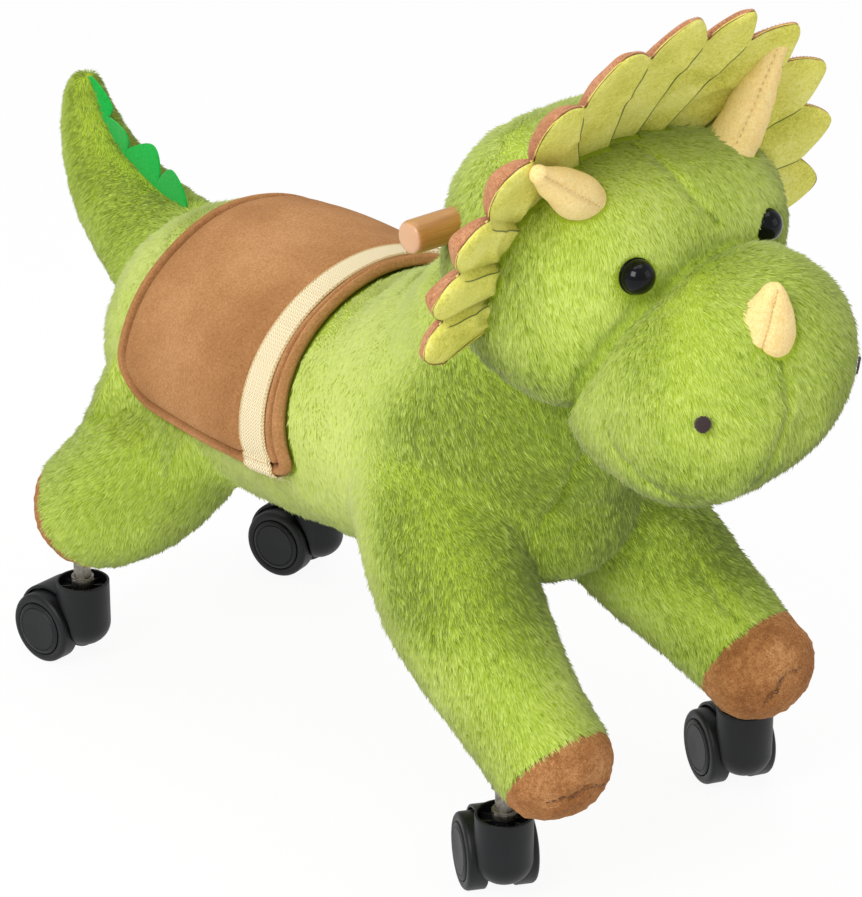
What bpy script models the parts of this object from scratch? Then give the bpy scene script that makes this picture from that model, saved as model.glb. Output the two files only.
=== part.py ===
"""Ride-on plush triceratops on four twin-wheel casters.

Metres, +Z up, the animal looks along -Y, its right side is at -X, and the wheels stand on Z = 0.
Positions are written from the middle of the wheelbase. The last step moves the whole model
so that the origin lies under the middle of its length.
"""
import math

import bmesh
import bpy
import numpy as np
from mathutils import Matrix, Vector

# Clearances
GAP = 0.0003

# Wheelbase, and the place of the origin along it
TRACK = 0.211
WHEELBASE = 0.434
ORIGIN_FROM_WHEELBASE_MIDDLE = -0.0042

# Casters
WHEEL_RADIUS = 0.025
WHEEL_WIDTH = 0.014
WHEEL_INNER_FACE = 0.0090
WHEEL_SHOULDER = 0.0025
WHEEL_SEGMENTS = 16
CASTER_TRAIL = 0.022
AXLE_RADIUS = 0.003
AXLE_DEPTH_IN_WHEEL = 0.010
CAP_RADIUS = 0.0185
CAP_RECESS = 0.0020
CAP_STANDS_PROUD = 0.0009
CAP_PLATE_RADIUS = 0.0150
BARREL_RADIUS = 0.0185
BARREL_WALL = 0.0020
BARREL_TOP = 0.0615
BARREL_BOTTOM = 0.0135
BARREL_POCKET_DEPTH = 0.0070
BARREL_SEGMENTS = 16
BARREL_ROUNDNESS = 0.9
RIB_COUNT = 8
RIB_THICKNESS = 0.0014
RIB_HEIGHT = 0.0030
HUB_RADIUS = 0.0078
HUB_HEIGHT = 0.0042
FENDER_GAP = 0.0010
FENDER_WALL = 0.0016
FENDER_HALF_WIDTH = 0.0130
WEB_HALF_WIDTH = 0.0080
WEB_BOSS_RADIUS = 0.0095
FENDER_END_HEIGHT = 0.023
SWIVEL_ANGLES = {"front_right": 62.0, "front_left": 69.0, "rear_right": 98.0, "rear_left": 107.0}

# Caster stems
STEM_RADIUS = 0.0057
STEM_IN_FRAME = 0.024
STEM_PIN_RADIUS = 0.0040
STEM_PIN_DEPTH = 0.020
HEX_ACROSS_FLATS = 0.0150
HEX_HEIGHT = 0.0050

# Steel frame, seat board and neck post
TUBE_WALL = 0.0020
TUBE_SIDES = 8
TUBE_BEND_RADIUS = 0.026
HOOP_FOOT_HEIGHT = 0.080
SOLE_OPENING_HEIGHT = 0.040
HOOP_BEND_HEIGHT = 0.118
HOOP_BAR_HALF_WIDTH = 0.060
FRONT_BAR_FROM_MIDDLE = 0.075
REAR_BAR_FROM_MIDDLE = 0.120
BOARD_UNDERSIDE = 0.262
BOARD_THICKNESS = 0.012
BOARD_HALF_WIDTH = 0.070
BOARD_FRONT = -0.108
BOARD_REAR = 0.142
POST_SIDE = 0.032
POST_FOOT_Y = -0.082
HANDLE_RADIUS = 0.0105
HANDLE_HALF_LENGTH = 0.1315
HANDLE_Y = -0.152
HANDLE_Z = 0.428
POST_PAST_HANDLE = 0.022

# Stuffed forms. A station is x, y, z, half width, half height, along the form's spine.
TORSO_STATIONS = (
    (0.0, 0.236, 0.224, 0.076, 0.064),
    (0.0, 0.190, 0.234, 0.098, 0.086),
    (0.0, 0.125, 0.238, 0.106, 0.098),
    (0.0, 0.055, 0.239, 0.111, 0.101),
    (0.0, -0.010, 0.240, 0.111, 0.095),
    (0.0, -0.070, 0.252, 0.107, 0.096),
    (0.0, -0.116, 0.290, 0.100, 0.092),
    (0.0, -0.142, 0.346, 0.088, 0.080),
    (0.0, -0.152, 0.388, 0.074, 0.068),
)
TORSO_CAPS = (0.050, 0.050)
HEAD_STATIONS = (
    (0.0, -0.092, 0.412, 0.060, 0.050),
    (0.0, -0.132, 0.408, 0.085, 0.074),
    (0.0, -0.182, 0.402, 0.107, 0.085),
    (0.0, -0.232, 0.392, 0.108, 0.080),
    (0.0, -0.276, 0.382, 0.098, 0.068),
)
HEAD_CAPS = (0.055, 0.050)
MUZZLE_STATIONS = (
    (0.0, -0.196, 0.352, 0.066, 0.062),
    (0.0, -0.240, 0.349, 0.080, 0.073),
    (0.0, -0.290, 0.341, 0.087, 0.073),
    (0.0, -0.330, 0.334, 0.085, 0.067),
    (0.0, -0.361, 0.328, 0.078, 0.059),
)
MUZZLE_CAPS = (0.045, 0.060)
FRONT_LEG_STATIONS = (
    (0.040, -0.072, 0.262, 0.058, 0.060),
    (0.066, -0.114, 0.218, 0.059, 0.058),
    (0.080, -0.158, 0.168, 0.056, 0.055),
    (0.087, -0.212, 0.118, 0.047, 0.046),
    (0.088, -0.270, 0.082, 0.038, 0.037),
)
REAR_LEG_STATIONS = (
    (0.048, 0.144, 0.266, 0.056, 0.058),
    (0.073, 0.164, 0.210, 0.057, 0.059),
    (0.090, 0.184, 0.160, 0.051, 0.052),
    (0.100, 0.214, 0.126, 0.046, 0.046),
    (0.102, 0.254, 0.106, 0.041, 0.041),
)
LEG_CAPS = (0.030, 0.030)
TAIL_STATIONS = (
    (0.0, 0.150, 0.258, 0.062, 0.056),
    (0.0, 0.215, 0.262, 0.054, 0.048),
    (0.0, 0.272, 0.281, 0.044, 0.040),
    (0.0, 0.316, 0.315, 0.034, 0.032),
    (0.0, 0.332, 0.350, 0.024, 0.023),
    (0.0, 0.334, 0.380, 0.017, 0.016),
)
TAIL_CAPS = (0.030, 0.016)
FRONT_PAW_PLANE = ((-0.246, 0.100), (-0.78, -0.63))
REAR_PAW_PLANE = ((0.236, 0.100), (0.90, -0.43))

# Frill
FRILL_CENTRE = (-0.196, 0.404)
FRILL_SCALLOPS = 12
FRILL_SWEEP = 206.0
FRILL_INNER_RADIUS = 0.086
FRILL_NOTCH_RADIUS = 0.141
FRILL_SCALLOP_DEPTH = 0.021
FRILL_LEAN = 0.40
FRILL_FLARE = 0.020
FRILL_PLEAT = 0.0045
FRILL_FRONT_THICKNESS = 0.0085
FRILL_BACK_THICKNESS = 0.0060
SCALLOP_BLUNTNESS = 1.6
FRILL_LEANS_ABOVE = -0.020
FRILL_EDGE_SHARE = 0.35
FRILL_END_SHARE = 0.45
FRILL_END_SLOPE = 6.0

# Horns, eyes and nostrils
BROW_HORN_RADIUS = 0.0160
RIGHT_HORN_BASE = (-0.0690, -0.2380, 0.4610)
LEFT_HORN_BASE = (0.0700, -0.2370, 0.4620)
RIGHT_HORN_TIP = (-0.1198, -0.2520, 0.4957)
LEFT_HORN_TIP = (0.0770, -0.2500, 0.5270)
NOSE_HORN_BASE = (0.0, -0.3200, 0.3660)
NOSE_HORN_TIP = (0.0, -0.3350, 0.4220)
NOSE_HORN_RADIUS = 0.0205
HORN_TIP_RADIUS = 0.0065
# Share of the way from base to tip, and share of the full radius there
HORN_OUTLINE = ((-0.40, 0.80), (0.0, 1.0), (0.30, 0.92), (0.65, 0.66), (1.0, 0.40))
EYE_RADIUS = 0.0115
EYE_CENTRE = (0.0565, -0.2740, 0.4218)
NOSTRIL_RADIUS = 0.0050
NOSTRIL_Y = -0.336
NOSTRIL_FROM_TOP = 73.0
NOSTRIL_THICKNESS = 0.0012

# Saddle pad and girth strap
SADDLE_FRONT = -0.022
SADDLE_REAR = 0.158
SADDLE_SWEEP = 104.0
SADDLE_THICKNESS = 0.0080
SADDLE_CORNER = 5.0
SADDLE_CORNER_CUT = 0.12
SADDLE_BORDER_SHARE = 0.3
SADDLE_BORDER_STEEPNESS = 8
SADDLE_CROWN_UNDER_STRAP = 0.8
STRAP_FROM_FRONT = 0.012
STRAP_WIDTH = 0.025
STRAP_THICKNESS = 0.0016
STRAP_STEP_DOWN = 14.0
SKIN_SAG = 0.0011

# Felt crest on the tail
CREST_SCALLOPS = 4
CREST_THICKNESS = 0.0030
CREST_HEIGHT = 0.016
CREST_ROOT_DEPTH = 0.006
CREST_SPAN = (0.36, 0.96)
CREST_NOTCH_SHARE = 0.12
CREST_BLUNTNESS = 0.6
CREST_TAPER = 0.35

COLOURS = {
    "fur": ((0.352, 0.516, 0.061), 0.90, 0.0),
    "velour": ((0.429, 0.181, 0.061), 0.85, 0.0),
    "frill_velour": ((0.429, 0.485, 0.053), 0.85, 0.0),
    "horn_plush": ((0.871, 0.591, 0.220), 0.85, 0.0),
    "felt": ((0.010, 0.402, 0.045), 0.90, 0.0),
    "webbing": ((0.871, 0.730, 0.431), 0.80, 0.0),
    "wood": ((0.610, 0.328, 0.107), 0.45, 0.0),
    "plywood": ((0.560, 0.380, 0.180), 0.60, 0.0),
    "eye": ((0.010, 0.010, 0.012), 0.08, 0.0),
    "thread": ((0.072, 0.017, 0.007), 0.80, 0.0),
    "caster_plastic": ((0.017, 0.019, 0.023), 0.42, 0.0),
    "steel": ((0.420, 0.410, 0.390), 0.35, 1.0),
}


def material(name):
    """The Principled material of one finish."""
    found = bpy.data.materials.get(name)
    if found:
        return found
    colour, roughness, metallic = COLOURS[name]
    made = bpy.data.materials.new(name)
    made.use_nodes = True
    shader = made.node_tree.nodes["Principled BSDF"]
    shader.inputs["Base Color"].default_value = (*colour, 1.0)
    shader.inputs["Roughness"].default_value = roughness
    shader.inputs["Metallic"].default_value = metallic
    made.diffuse_color = (*colour, 1.0)
    return made


def mesh_from(name, points, faces):
    """A mesh of its own from points and faces."""
    mesh = bpy.data.meshes.new(name)
    mesh.from_pydata([tuple(float(c) for c in point) for point in points], [], faces)
    mesh.validate()
    return mesh


def faced_outwards(points, faces):
    """A closed mesh of triangles whose faces all point out."""
    mesh = mesh_from("closed", points, faces)
    shape = bmesh.new()
    shape.from_mesh(mesh)
    bmesh.ops.triangulate(shape, faces=shape.faces)
    bmesh.ops.recalc_face_normals(shape, faces=shape.faces)
    shape.to_mesh(mesh)
    shape.free()
    return mesh


def place(name, mesh, finish, parent=None, location=(0.0, 0.0, 0.0), sharp_above=40.0):
    """One named sub-part, shaded smooth apart from its sharp edges."""
    mesh.name = name
    mesh.materials.clear()
    mesh.materials.append(material(finish))
    mesh.shade_smooth()
    mesh.set_sharp_from_angle(angle=math.radians(sharp_above))
    piece = bpy.data.objects.new(name, mesh)
    bpy.context.scene.collection.objects.link(piece)
    piece.parent = parent
    piece.location = location
    return piece


def combined(mesh, tools, operation):
    """The mesh after exact Booleans with each tool mesh in turn."""
    body = bpy.data.objects.new("combined", mesh)
    bpy.context.scene.collection.objects.link(body)
    helpers = []
    for tool in tools:
        helper = bpy.data.objects.new("tool", tool)
        helper.hide_render = True
        helper.display_type = "WIRE"
        bpy.context.scene.collection.objects.link(helper)
        step = body.modifiers.new("step", "BOOLEAN")
        step.operation = operation
        step.solver = "EXACT"
        step.object = helper
        helpers.append(helper)
    bpy.context.view_layer.update()
    graph = bpy.context.evaluated_depsgraph_get()
    result = bpy.data.meshes.new_from_object(body.evaluated_get(graph))
    for helper in helpers + [body]:
        bpy.data.objects.remove(helper)
    return result


def cut(mesh, *tools):
    return combined(mesh, tools, "DIFFERENCE")


def joined(mesh, *tools):
    return combined(mesh, tools, "UNION")


def grown(mesh, amount=GAP):
    """A copy of a closed mesh whose faces stand out by the amount."""
    shape = bmesh.new()
    shape.from_mesh(mesh)
    bmesh.ops.triangulate(shape, faces=shape.faces)
    shape.normal_update()
    moved = []
    for vertex in shape.verts:
        shell = max(vertex.calc_shell_factor(), 1.0)
        moved.append(vertex.co + vertex.normal * amount * min(shell, 2.0))
    for vertex, place_now in zip(shape.verts, moved):
        vertex.co = place_now
    copy = bpy.data.meshes.new("grown")
    shape.to_mesh(copy)
    shape.free()
    return copy


def mirrored(mesh):
    """The mesh seen in the plane X = 0, with its faces still pointing out."""
    shape = bmesh.new()
    shape.from_mesh(mesh)
    bmesh.ops.scale(shape, vec=(-1.0, 1.0, 1.0), verts=shape.verts)
    bmesh.ops.reverse_faces(shape, faces=shape.faces)
    copy = bpy.data.meshes.new("mirrored")
    shape.to_mesh(copy)
    shape.free()
    return copy


def moved(mesh, matrix):
    copy = mesh.copy()
    copy.transform(matrix)
    return copy


def box(low, high):
    """A block between two corners."""
    low, high = Vector(low), Vector(high)
    shape = bmesh.new()
    bmesh.ops.create_cube(shape, size=1.0)
    bmesh.ops.scale(shape, vec=high - low, verts=shape.verts)
    bmesh.ops.translate(shape, vec=(low + high) / 2, verts=shape.verts)
    mesh = bpy.data.meshes.new("box")
    shape.to_mesh(mesh)
    shape.free()
    return mesh


def turned(profile, segments, phase=0.0):
    """A solid turned about Z. The profile is (radius, height) from its low pole to its high one."""
    points = []
    rings = []
    for radius, height in profile:
        if radius == 0.0:
            rings.append([len(points)])
            points.append((0.0, 0.0, height))
            continue
        ring = []
        for i in range(segments):
            angle = phase + math.tau * i / segments
            ring.append(len(points))
            points.append((radius * math.cos(angle), radius * math.sin(angle), height))
        rings.append(ring)
    return mesh_from("turned", points, faces_between(rings))


def drum(radius, low, high, segments, phase=0.0):
    """A plain round solid about Z between two heights."""
    return turned(((0.0, low), (radius, low), (radius, high), (0.0, high)), segments, phase)


def faces_between(rings):
    """Faces from one ring of indices to the next. A ring of one index is a pole."""
    faces = []
    for low, high in zip(rings, rings[1:]):
        count = max(len(low), len(high))
        for i in range(count):
            k = (i + 1) % count
            if len(low) == 1:
                faces.append((low[0], high[k], high[i]))
            elif len(high) == 1:
                faces.append((low[i], low[k], high[0]))
            else:
                faces.append((low[i], low[k], high[k], high[i]))
    return faces


def smooth_through(knots, values, at):
    """Values of a smooth curve through the knots, at the given distances along it."""
    slopes = np.gradient(values, knots, axis=0)
    i = np.clip(np.searchsorted(knots, at, side="right") - 1, 0, len(knots) - 2)
    span = (knots[i + 1] - knots[i])[:, None]
    s = (at - knots[i])[:, None] / span
    ease_from = (1 + 2 * s) * (1 - s) ** 2
    ease_to = s ** 2 * (3 - 2 * s)
    bend_from = s * (1 - s) ** 2 * span
    bend_to = s ** 2 * (s - 1) * span
    return ease_from * values[i] + bend_from * slopes[i] + ease_to * values[i + 1] + bend_to * slopes[i + 1]


class StuffedForm:
    """A swelling, tapering form: elliptical rings along a smooth spine, rounded off at both ends."""

    def __init__(self, stations, caps, side_hint=(1.0, 0.0, 0.0), power=2.0):
        rows = np.array(stations, float)
        self.centres = rows[:, :3]
        self.radii = rows[:, 3:5]
        steps = np.linalg.norm(np.diff(self.centres, axis=0), axis=1)
        self.knots = np.concatenate([[0.0], np.cumsum(steps)])
        self.length = self.knots[-1]
        self.caps = caps
        self.side_hint = np.array(side_hint)
        self.power = power

    def frame(self, distance):
        """Centre, sideways, upward and forward directions and the two radii at a distance."""
        nudge = self.length * 1e-3
        at = np.clip(np.array([distance - nudge, distance, distance + nudge]), 0.0, self.length)
        near = smooth_through(self.knots, self.centres, at)
        forward = near[2] - near[0]
        forward = forward / np.linalg.norm(forward)
        side = self.side_hint - forward * (self.side_hint @ forward)
        side = side / np.linalg.norm(side)
        up = np.cross(forward, side)
        radii = smooth_through(self.knots, self.radii, at)[1]
        start, end = self.caps
        for from_end, cap in ((distance, start), (self.length - distance, end)):
            if from_end < cap:
                radii = radii * math.sqrt(max(0.0, 1.0 - ((cap - from_end) / cap) ** 2))
        return near[1], side, up, forward, radii

    def point(self, distance, angle, lift=0.0):
        """The point of the surface at a distance along the spine and an angle from sideways."""
        centre, side, up, forward, radii = self.frame(distance)
        c, s = math.cos(angle), math.sin(angle)
        across = math.copysign(abs(c) ** (2.0 / self.power), c)
        along = math.copysign(abs(s) ** (2.0 / self.power), s)
        outward = side * c / max(radii[0], 1e-6) + up * s / max(radii[1], 1e-6)
        outward = outward / np.linalg.norm(outward)
        return centre + side * across * radii[0] + up * along * radii[1] + outward * lift

    def distances(self, cap_rings, middle_rings):
        """Where the rings lie: closer together round the ends."""
        start, end = self.caps
        quarter = [math.pi / 2 * (i + 1) / cap_rings for i in range(cap_rings)]
        first = [start * (1 - math.cos(a)) for a in quarter]
        last = [self.length - end * (1 - math.cos(a)) for a in quarter]
        middle = np.linspace(start, self.length - end, middle_rings + 2)[1:-1]
        return first + list(middle) + last[::-1]

    def mesh(self, sides, cap_rings, middle_rings):
        points = [self.frame(0.0)[0]]
        rings = [[0]]
        for distance in self.distances(cap_rings, middle_rings):
            ring = []
            for i in range(sides):
                ring.append(len(points))
                points.append(self.point(distance, math.tau * i / sides))
            rings.append(ring)
        rings.append([len(points)])
        points.append(self.frame(self.length)[0])
        return faced_outwards(points, faces_between(rings))

    def distance_at_y(self, y):
        """The distance along the spine at which it passes a plane across the body."""
        table = np.linspace(0.0, self.length, 200)
        ys = smooth_through(self.knots, self.centres, table)[:, 1]
        return float(np.interp(y, ys[::-1], table[::-1]))


def bent_path(corners, bend_radius, bend_steps=2):
    """Points along straight runs with round bends between them."""
    path = [Vector(corners[0])]
    for before, corner, after in zip(corners, corners[1:], corners[2:]):
        before, corner, after = Vector(before), Vector(corner), Vector(after)
        into = (before - corner).normalized()
        out = (after - corner).normalized()
        half = into.angle(out) / 2
        reach = bend_radius / math.tan(half)
        centre = corner + (into + out).normalized() * bend_radius / math.sin(half)
        first = corner + into * reach - centre
        last = corner + out * reach - centre
        turn = first.angle(last)
        axis = first.cross(last).normalized()
        for i in range(bend_steps + 1):
            path.append(centre + Matrix.Rotation(turn * i / bend_steps, 3, axis) @ first)
    path.append(Vector(corners[-1]))
    return path


def bent_tube(path, radius, inner_radius=0.0):
    """A flat-sided tube, mitred where its path turns. Radii are to the flats, and 0 gives a rod."""
    to_corner = 1 / math.cos(math.pi / TUBE_SIDES)
    runs = [(ahead - here).normalized() for here, ahead in zip(path, path[1:])]
    side = Vector((0.0, 1.0, 0.0))
    side = (side - runs[0] * side.dot(runs[0])).normalized()
    up = runs[0].cross(side)
    offsets = []
    for i in range(TUBE_SIDES):
        angle = math.tau * (i + 0.5) / TUBE_SIDES
        offsets.append((side * math.cos(angle) + up * math.sin(angle)) * to_corner)
    points, outer, inner = [], [], []
    for here, before, after in zip(path, runs[:1] + runs, runs + runs[-1:]):
        mitre = (before + after).normalized()
        slanted = [offset - before * offset.dot(mitre) / before.dot(mitre) for offset in offsets]
        offsets = [offset - after * offset.dot(after) for offset in slanted]
        for rings, size in ((outer, radius), (inner, inner_radius)):
            if size > 0.0:
                rings.append(list(range(len(points), len(points) + TUBE_SIDES)))
                points += [here + offset * size for offset in slanted]
    if inner:
        return faced_outwards(points, faces_between(outer + inner[::-1] + outer[:1]))
    ends = [[len(points)], [len(points) + 1]]
    points += [path[0], path[-1]]
    return faced_outwards(points, faces_between(ends[:1] + outer + ends[1:]))


def corner_of(end, hand):
    """The place of a caster's stem on the floor."""
    x = TRACK / 2 * (1 if hand == "left" else -1)
    y = WHEELBASE / 2 * (1 if end == "rear" else -1)
    return x, y


def lengthways(mesh, x, y_start, z):
    """A mesh turned about Z laid along +Y, at a place on the axle."""
    return moved(mesh, Matrix.Translation((x, y_start, z)) @ Matrix.Rotation(-math.pi / 2, 4, "X"))


def wheel_mesh():
    """One tyre and hub, turned about Z with its inner face at Z = 0."""
    tread = WHEEL_RADIUS / math.cos(math.pi / WHEEL_SEGMENTS)
    bore = AXLE_RADIUS + GAP
    recess = CAP_RADIUS + GAP
    profile = (
        (0.0, AXLE_DEPTH_IN_WHEEL + GAP),
        (bore, AXLE_DEPTH_IN_WHEEL + GAP),
        (bore, 0.0),
        (tread, 0.0),
        (tread, WHEEL_WIDTH - WHEEL_SHOULDER),
        (tread - WHEEL_SHOULDER, WHEEL_WIDTH),
        (recess, WHEEL_WIDTH),
        (recess, WHEEL_WIDTH - CAP_RECESS),
        (0.0, WHEEL_WIDTH - CAP_RECESS),
    )
    return turned(profile, WHEEL_SEGMENTS, math.pi / WHEEL_SEGMENTS)


def wheel_cap_mesh():
    """The snap-in cover disc of a wheel, with a raised plate, its back face at Z = 0."""
    face = CAP_RECESS - GAP + CAP_STANDS_PROUD
    plate = CAP_STANDS_PROUD / 2
    profile = (
        (0.0, 0.0),
        (CAP_RADIUS, 0.0),
        (CAP_RADIUS, face - plate),
        (CAP_PLATE_RADIUS + plate, face - plate),
        (CAP_PLATE_RADIUS, face),
        (0.0, face),
    )
    return turned(profile, WHEEL_SEGMENTS, math.pi / WHEEL_SEGMENTS)


def housing_mesh():
    """The caster's housing: ribbed stem barrel, web and fender, with the swivel axis on Z."""
    floor = BARREL_TOP - BARREL_POCKET_DEPTH
    inner = BARREL_RADIUS - BARREL_WALL
    hub_top = floor + HUB_HEIGHT
    round_end = BARREL_RADIUS * BARREL_ROUNDNESS
    profile = [(0.0, BARREL_BOTTOM)]
    for i in range(1, 4):
        angle = math.pi / 2 * i / 3
        height = BARREL_BOTTOM + round_end * (1 - math.cos(angle))
        profile.append((BARREL_RADIUS * math.sin(angle), height))
    profile += [(BARREL_RADIUS, BARREL_TOP), (inner, BARREL_TOP), (inner, floor), (HUB_RADIUS, floor)]
    profile += [(HUB_RADIUS, hub_top), (0.0, hub_top)]
    barrel = turned(profile, BARREL_SEGMENTS)
    axle_height = WHEEL_RADIUS
    facet = math.cos(math.pi / WHEEL_SEGMENTS)
    well = (WHEEL_RADIUS / facet + FENDER_GAP) / facet
    fender_radius = well + FENDER_WALL
    disc = lengthways(drum(fender_radius, -FENDER_HALF_WIDTH, FENDER_HALF_WIDTH, WHEEL_SEGMENTS),
                      CASTER_TRAIL, 0.0, axle_height)
    reach = 2 * fender_radius
    below = box((-reach, -reach, -reach), (2 * reach, reach, FENDER_END_HEIGHT))
    fender = cut(disc, below)
    boss = lengthways(drum(WEB_BOSS_RADIUS, -WHEEL_INNER_FACE, WHEEL_INNER_FACE, BARREL_SEGMENTS),
                      CASTER_TRAIL, 0.0, axle_height)
    housing = joined(barrel, fender, boss)
    wells = []
    for hand in (-1, 1):
        depth = WHEEL_INNER_FACE + WHEEL_WIDTH
        start = WEB_HALF_WIDTH if hand > 0 else -WEB_HALF_WIDTH - depth
        wells.append(lengthways(drum(well, 0.0, depth, WHEEL_SEGMENTS), CASTER_TRAIL, start, axle_height))
    housing = cut(housing, *wells)
    ribs = []
    for i in range(RIB_COUNT):
        low = (HUB_RADIUS - BARREL_WALL / 2, -RIB_THICKNESS / 2, floor - BARREL_WALL / 2)
        rib = box(low, (inner + BARREL_WALL / 2, RIB_THICKNESS / 2, floor + RIB_HEIGHT))
        ribs.append(moved(rib, Matrix.Rotation(math.tau * i / RIB_COUNT, 4, "Z")))
    housing = joined(housing, *ribs)
    pin_hole = STEM_PIN_RADIUS + GAP
    bottom = hub_top - STEM_PIN_DEPTH - GAP
    over = hub_top + BARREL_WALL
    phase = math.pi / BARREL_SEGMENTS
    hole = drum(pin_hole, bottom, over, BARREL_SEGMENTS, phase)
    cross = drum(AXLE_RADIUS + GAP, -FENDER_HALF_WIDTH, FENDER_HALF_WIDTH, BARREL_SEGMENTS, phase)
    return cut(housing, hole, lengthways(cross, CASTER_TRAIL, 0.0, axle_height))


def stem_levels():
    """Heights of the hub's top, the hexagon's foot and the stem's top end."""
    hub_top = BARREL_TOP - BARREL_POCKET_DEPTH + HUB_HEIGHT
    return hub_top, hub_top + GAP, HOOP_FOOT_HEIGHT + STEM_IN_FRAME


def stem_mesh():
    """Steel stem with its hexagon and the pin that the housing swivels on."""
    hub_top, foot, top = stem_levels()
    pin_end = hub_top - STEM_PIN_DEPTH
    rod = turned(((0.0, pin_end), (STEM_PIN_RADIUS, pin_end), (STEM_PIN_RADIUS, foot + HEX_HEIGHT / 2),
                  (STEM_RADIUS, foot + HEX_HEIGHT / 2), (STEM_RADIUS, top), (0.0, top)), 12)
    corner = HEX_ACROSS_FLATS / 2 / math.cos(math.pi / 6)
    nut_top = foot + HEX_HEIGHT
    nut = drum(corner, foot, nut_top, 6)
    return joined(nut, rod)


def axle_mesh():
    """The axle, laid along Y about its own middle."""
    half = WHEEL_INNER_FACE + AXLE_DEPTH_IN_WHEEL
    return lengthways(drum(AXLE_RADIUS, -half, half, 12), 0.0, 0.0, 0.0)


def build_casters():
    """Four casters. Each hangs under an empty on its swivel axis, and its wheels turn about the axle."""
    housing, stem, axle = housing_mesh(), stem_mesh(), axle_mesh()
    wheel, cap = wheel_mesh(), wheel_cap_mesh()
    stems = {}
    for end in ("front", "rear"):
        for hand in ("right", "left"):
            corner = f"{end}_{hand}"
            x, y = corner_of(end, hand)
            stems[corner] = place(f"{corner}_stem", stem.copy(), "steel", None, (x, y, 0.0), 25.0)
            swivel = bpy.data.objects.new(f"{corner}_swivel", None)
            bpy.context.scene.collection.objects.link(swivel)
            swivel.location = (x, y, 0.0)
            swivel.rotation_euler = (0.0, 0.0, math.radians(SWIVEL_ANGLES[corner]))
            place(f"{corner}_housing", housing.copy(), "caster_plastic", swivel)
            centre = (CASTER_TRAIL, 0.0, WHEEL_RADIUS)
            place(f"{corner}_axle", axle.copy(), "steel", swivel, centre)
            for side, turn in (("left", -math.pi / 2), ("right", math.pi / 2)):
                outward = 1 if side == "left" else -1
                flip = Matrix.Rotation(turn, 4, "X")
                seat = WHEEL_INNER_FACE + WHEEL_WIDTH - CAP_RECESS + GAP
                tyre = moved(wheel, Matrix.Translation((0.0, outward * WHEEL_INNER_FACE, 0.0)) @ flip)
                disc = moved(cap, Matrix.Translation((0.0, outward * seat, 0.0)) @ flip)
                place(f"{corner}_wheel_{side}", tyre, "caster_plastic", swivel, centre)
                place(f"{corner}_wheel_cap_{side}", disc, "caster_plastic", swivel, centre)


def hoop_corners(end, foot):
    """Corners of a leg hoop: up from one caster stem, across under the board and down to the other."""
    x, y = corner_of(end, "left")
    bar_y = REAR_BAR_FROM_MIDDLE if end == "rear" else -FRONT_BAR_FROM_MIDDLE
    corner_radius = (STEM_RADIUS + GAP + TUBE_WALL) / math.cos(math.pi / TUBE_SIDES)
    bar_z = BOARD_UNDERSIDE - GAP - corner_radius
    left = [(x, y, foot), (x, y, HOOP_BEND_HEIGHT), (HOOP_BAR_HALF_WIDTH, bar_y, bar_z)]
    return left + [(-px, py, pz) for px, py, pz in reversed(left)]


def hoop_mesh(end):
    """A hollow leg hoop, whose open ends hold the caster stems."""
    inner = STEM_RADIUS + GAP
    path = bent_path(hoop_corners(end, HOOP_FOOT_HEIGHT), TUBE_BEND_RADIUS)
    return bent_tube(path, inner + TUBE_WALL, inner)


def hoop_room(end):
    """The channel for a hoop through torso and legs, open under the soles."""
    outer = STEM_RADIUS + GAP + TUBE_WALL + GAP
    return bent_tube(bent_path(hoop_corners(end, SOLE_OPENING_HEIGHT), TUBE_BEND_RADIUS), outer)


def board_mesh(extra=0.0):
    low = (-BOARD_HALF_WIDTH - extra, BOARD_FRONT - extra, BOARD_UNDERSIDE - extra)
    high = (BOARD_HALF_WIDTH + extra, BOARD_REAR + extra, BOARD_UNDERSIDE + BOARD_THICKNESS + extra)
    return box(low, high)


def handle_mesh(extra=0.0):
    """The dowel across the neck, with round ends."""
    reach = HANDLE_HALF_LENGTH + extra
    radius = HANDLE_RADIUS + extra
    stations = [(x, HANDLE_Y, HANDLE_Z, radius, radius) for x in (-reach, 0.0, reach)]
    return StuffedForm(stations, (radius, radius), (0.0, 1.0, 0.0)).mesh(14, 3, 1)


def post_mesh(extra=0.0):
    """The neck post, which leans forward from the seat board to the handle."""
    foot_z = BOARD_UNDERSIDE + BOARD_THICKNESS + GAP
    foot = Vector((0.0, POST_FOOT_Y, foot_z))
    lean = Vector((0.0, HANDLE_Y, HANDLE_Z)) - foot
    length = lean.length + POST_PAST_HANDLE + extra
    half = POST_SIDE / 2 + extra
    stick = box((-half, -half, -POST_SIDE), (half, half, length))
    turn = Vector((0.0, 0.0, 1.0)).rotation_difference(lean).to_matrix().to_4x4()
    stick = moved(stick, Matrix.Translation(foot) @ turn)
    reach = 4 * POST_SIDE
    level = foot_z - extra
    below = box((-reach, POST_FOOT_Y - reach, level - reach), (reach, POST_FOOT_Y + reach, level))
    return cut(stick, below)


def half_space(plane, reach=0.3):
    """A large block beyond a plane across the foot. The plane is a point and a normal in Y and Z."""
    (y, z), (ny, nz) = plane
    normal = Vector((0.0, ny, nz)).normalized()
    turn = Vector((0.0, 0.0, 1.0)).rotation_difference(normal).to_matrix().to_4x4()
    block = box((-reach, -reach, 0.0), (reach, reach, reach))
    return moved(block, Matrix.Translation((0.0, y, z)) @ turn)


def shifted_plane(plane, amount):
    (y, z), (ny, nz) = plane
    length = math.hypot(ny, nz)
    return (y + ny / length * amount, z + nz / length * amount), (ny, nz)


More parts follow.
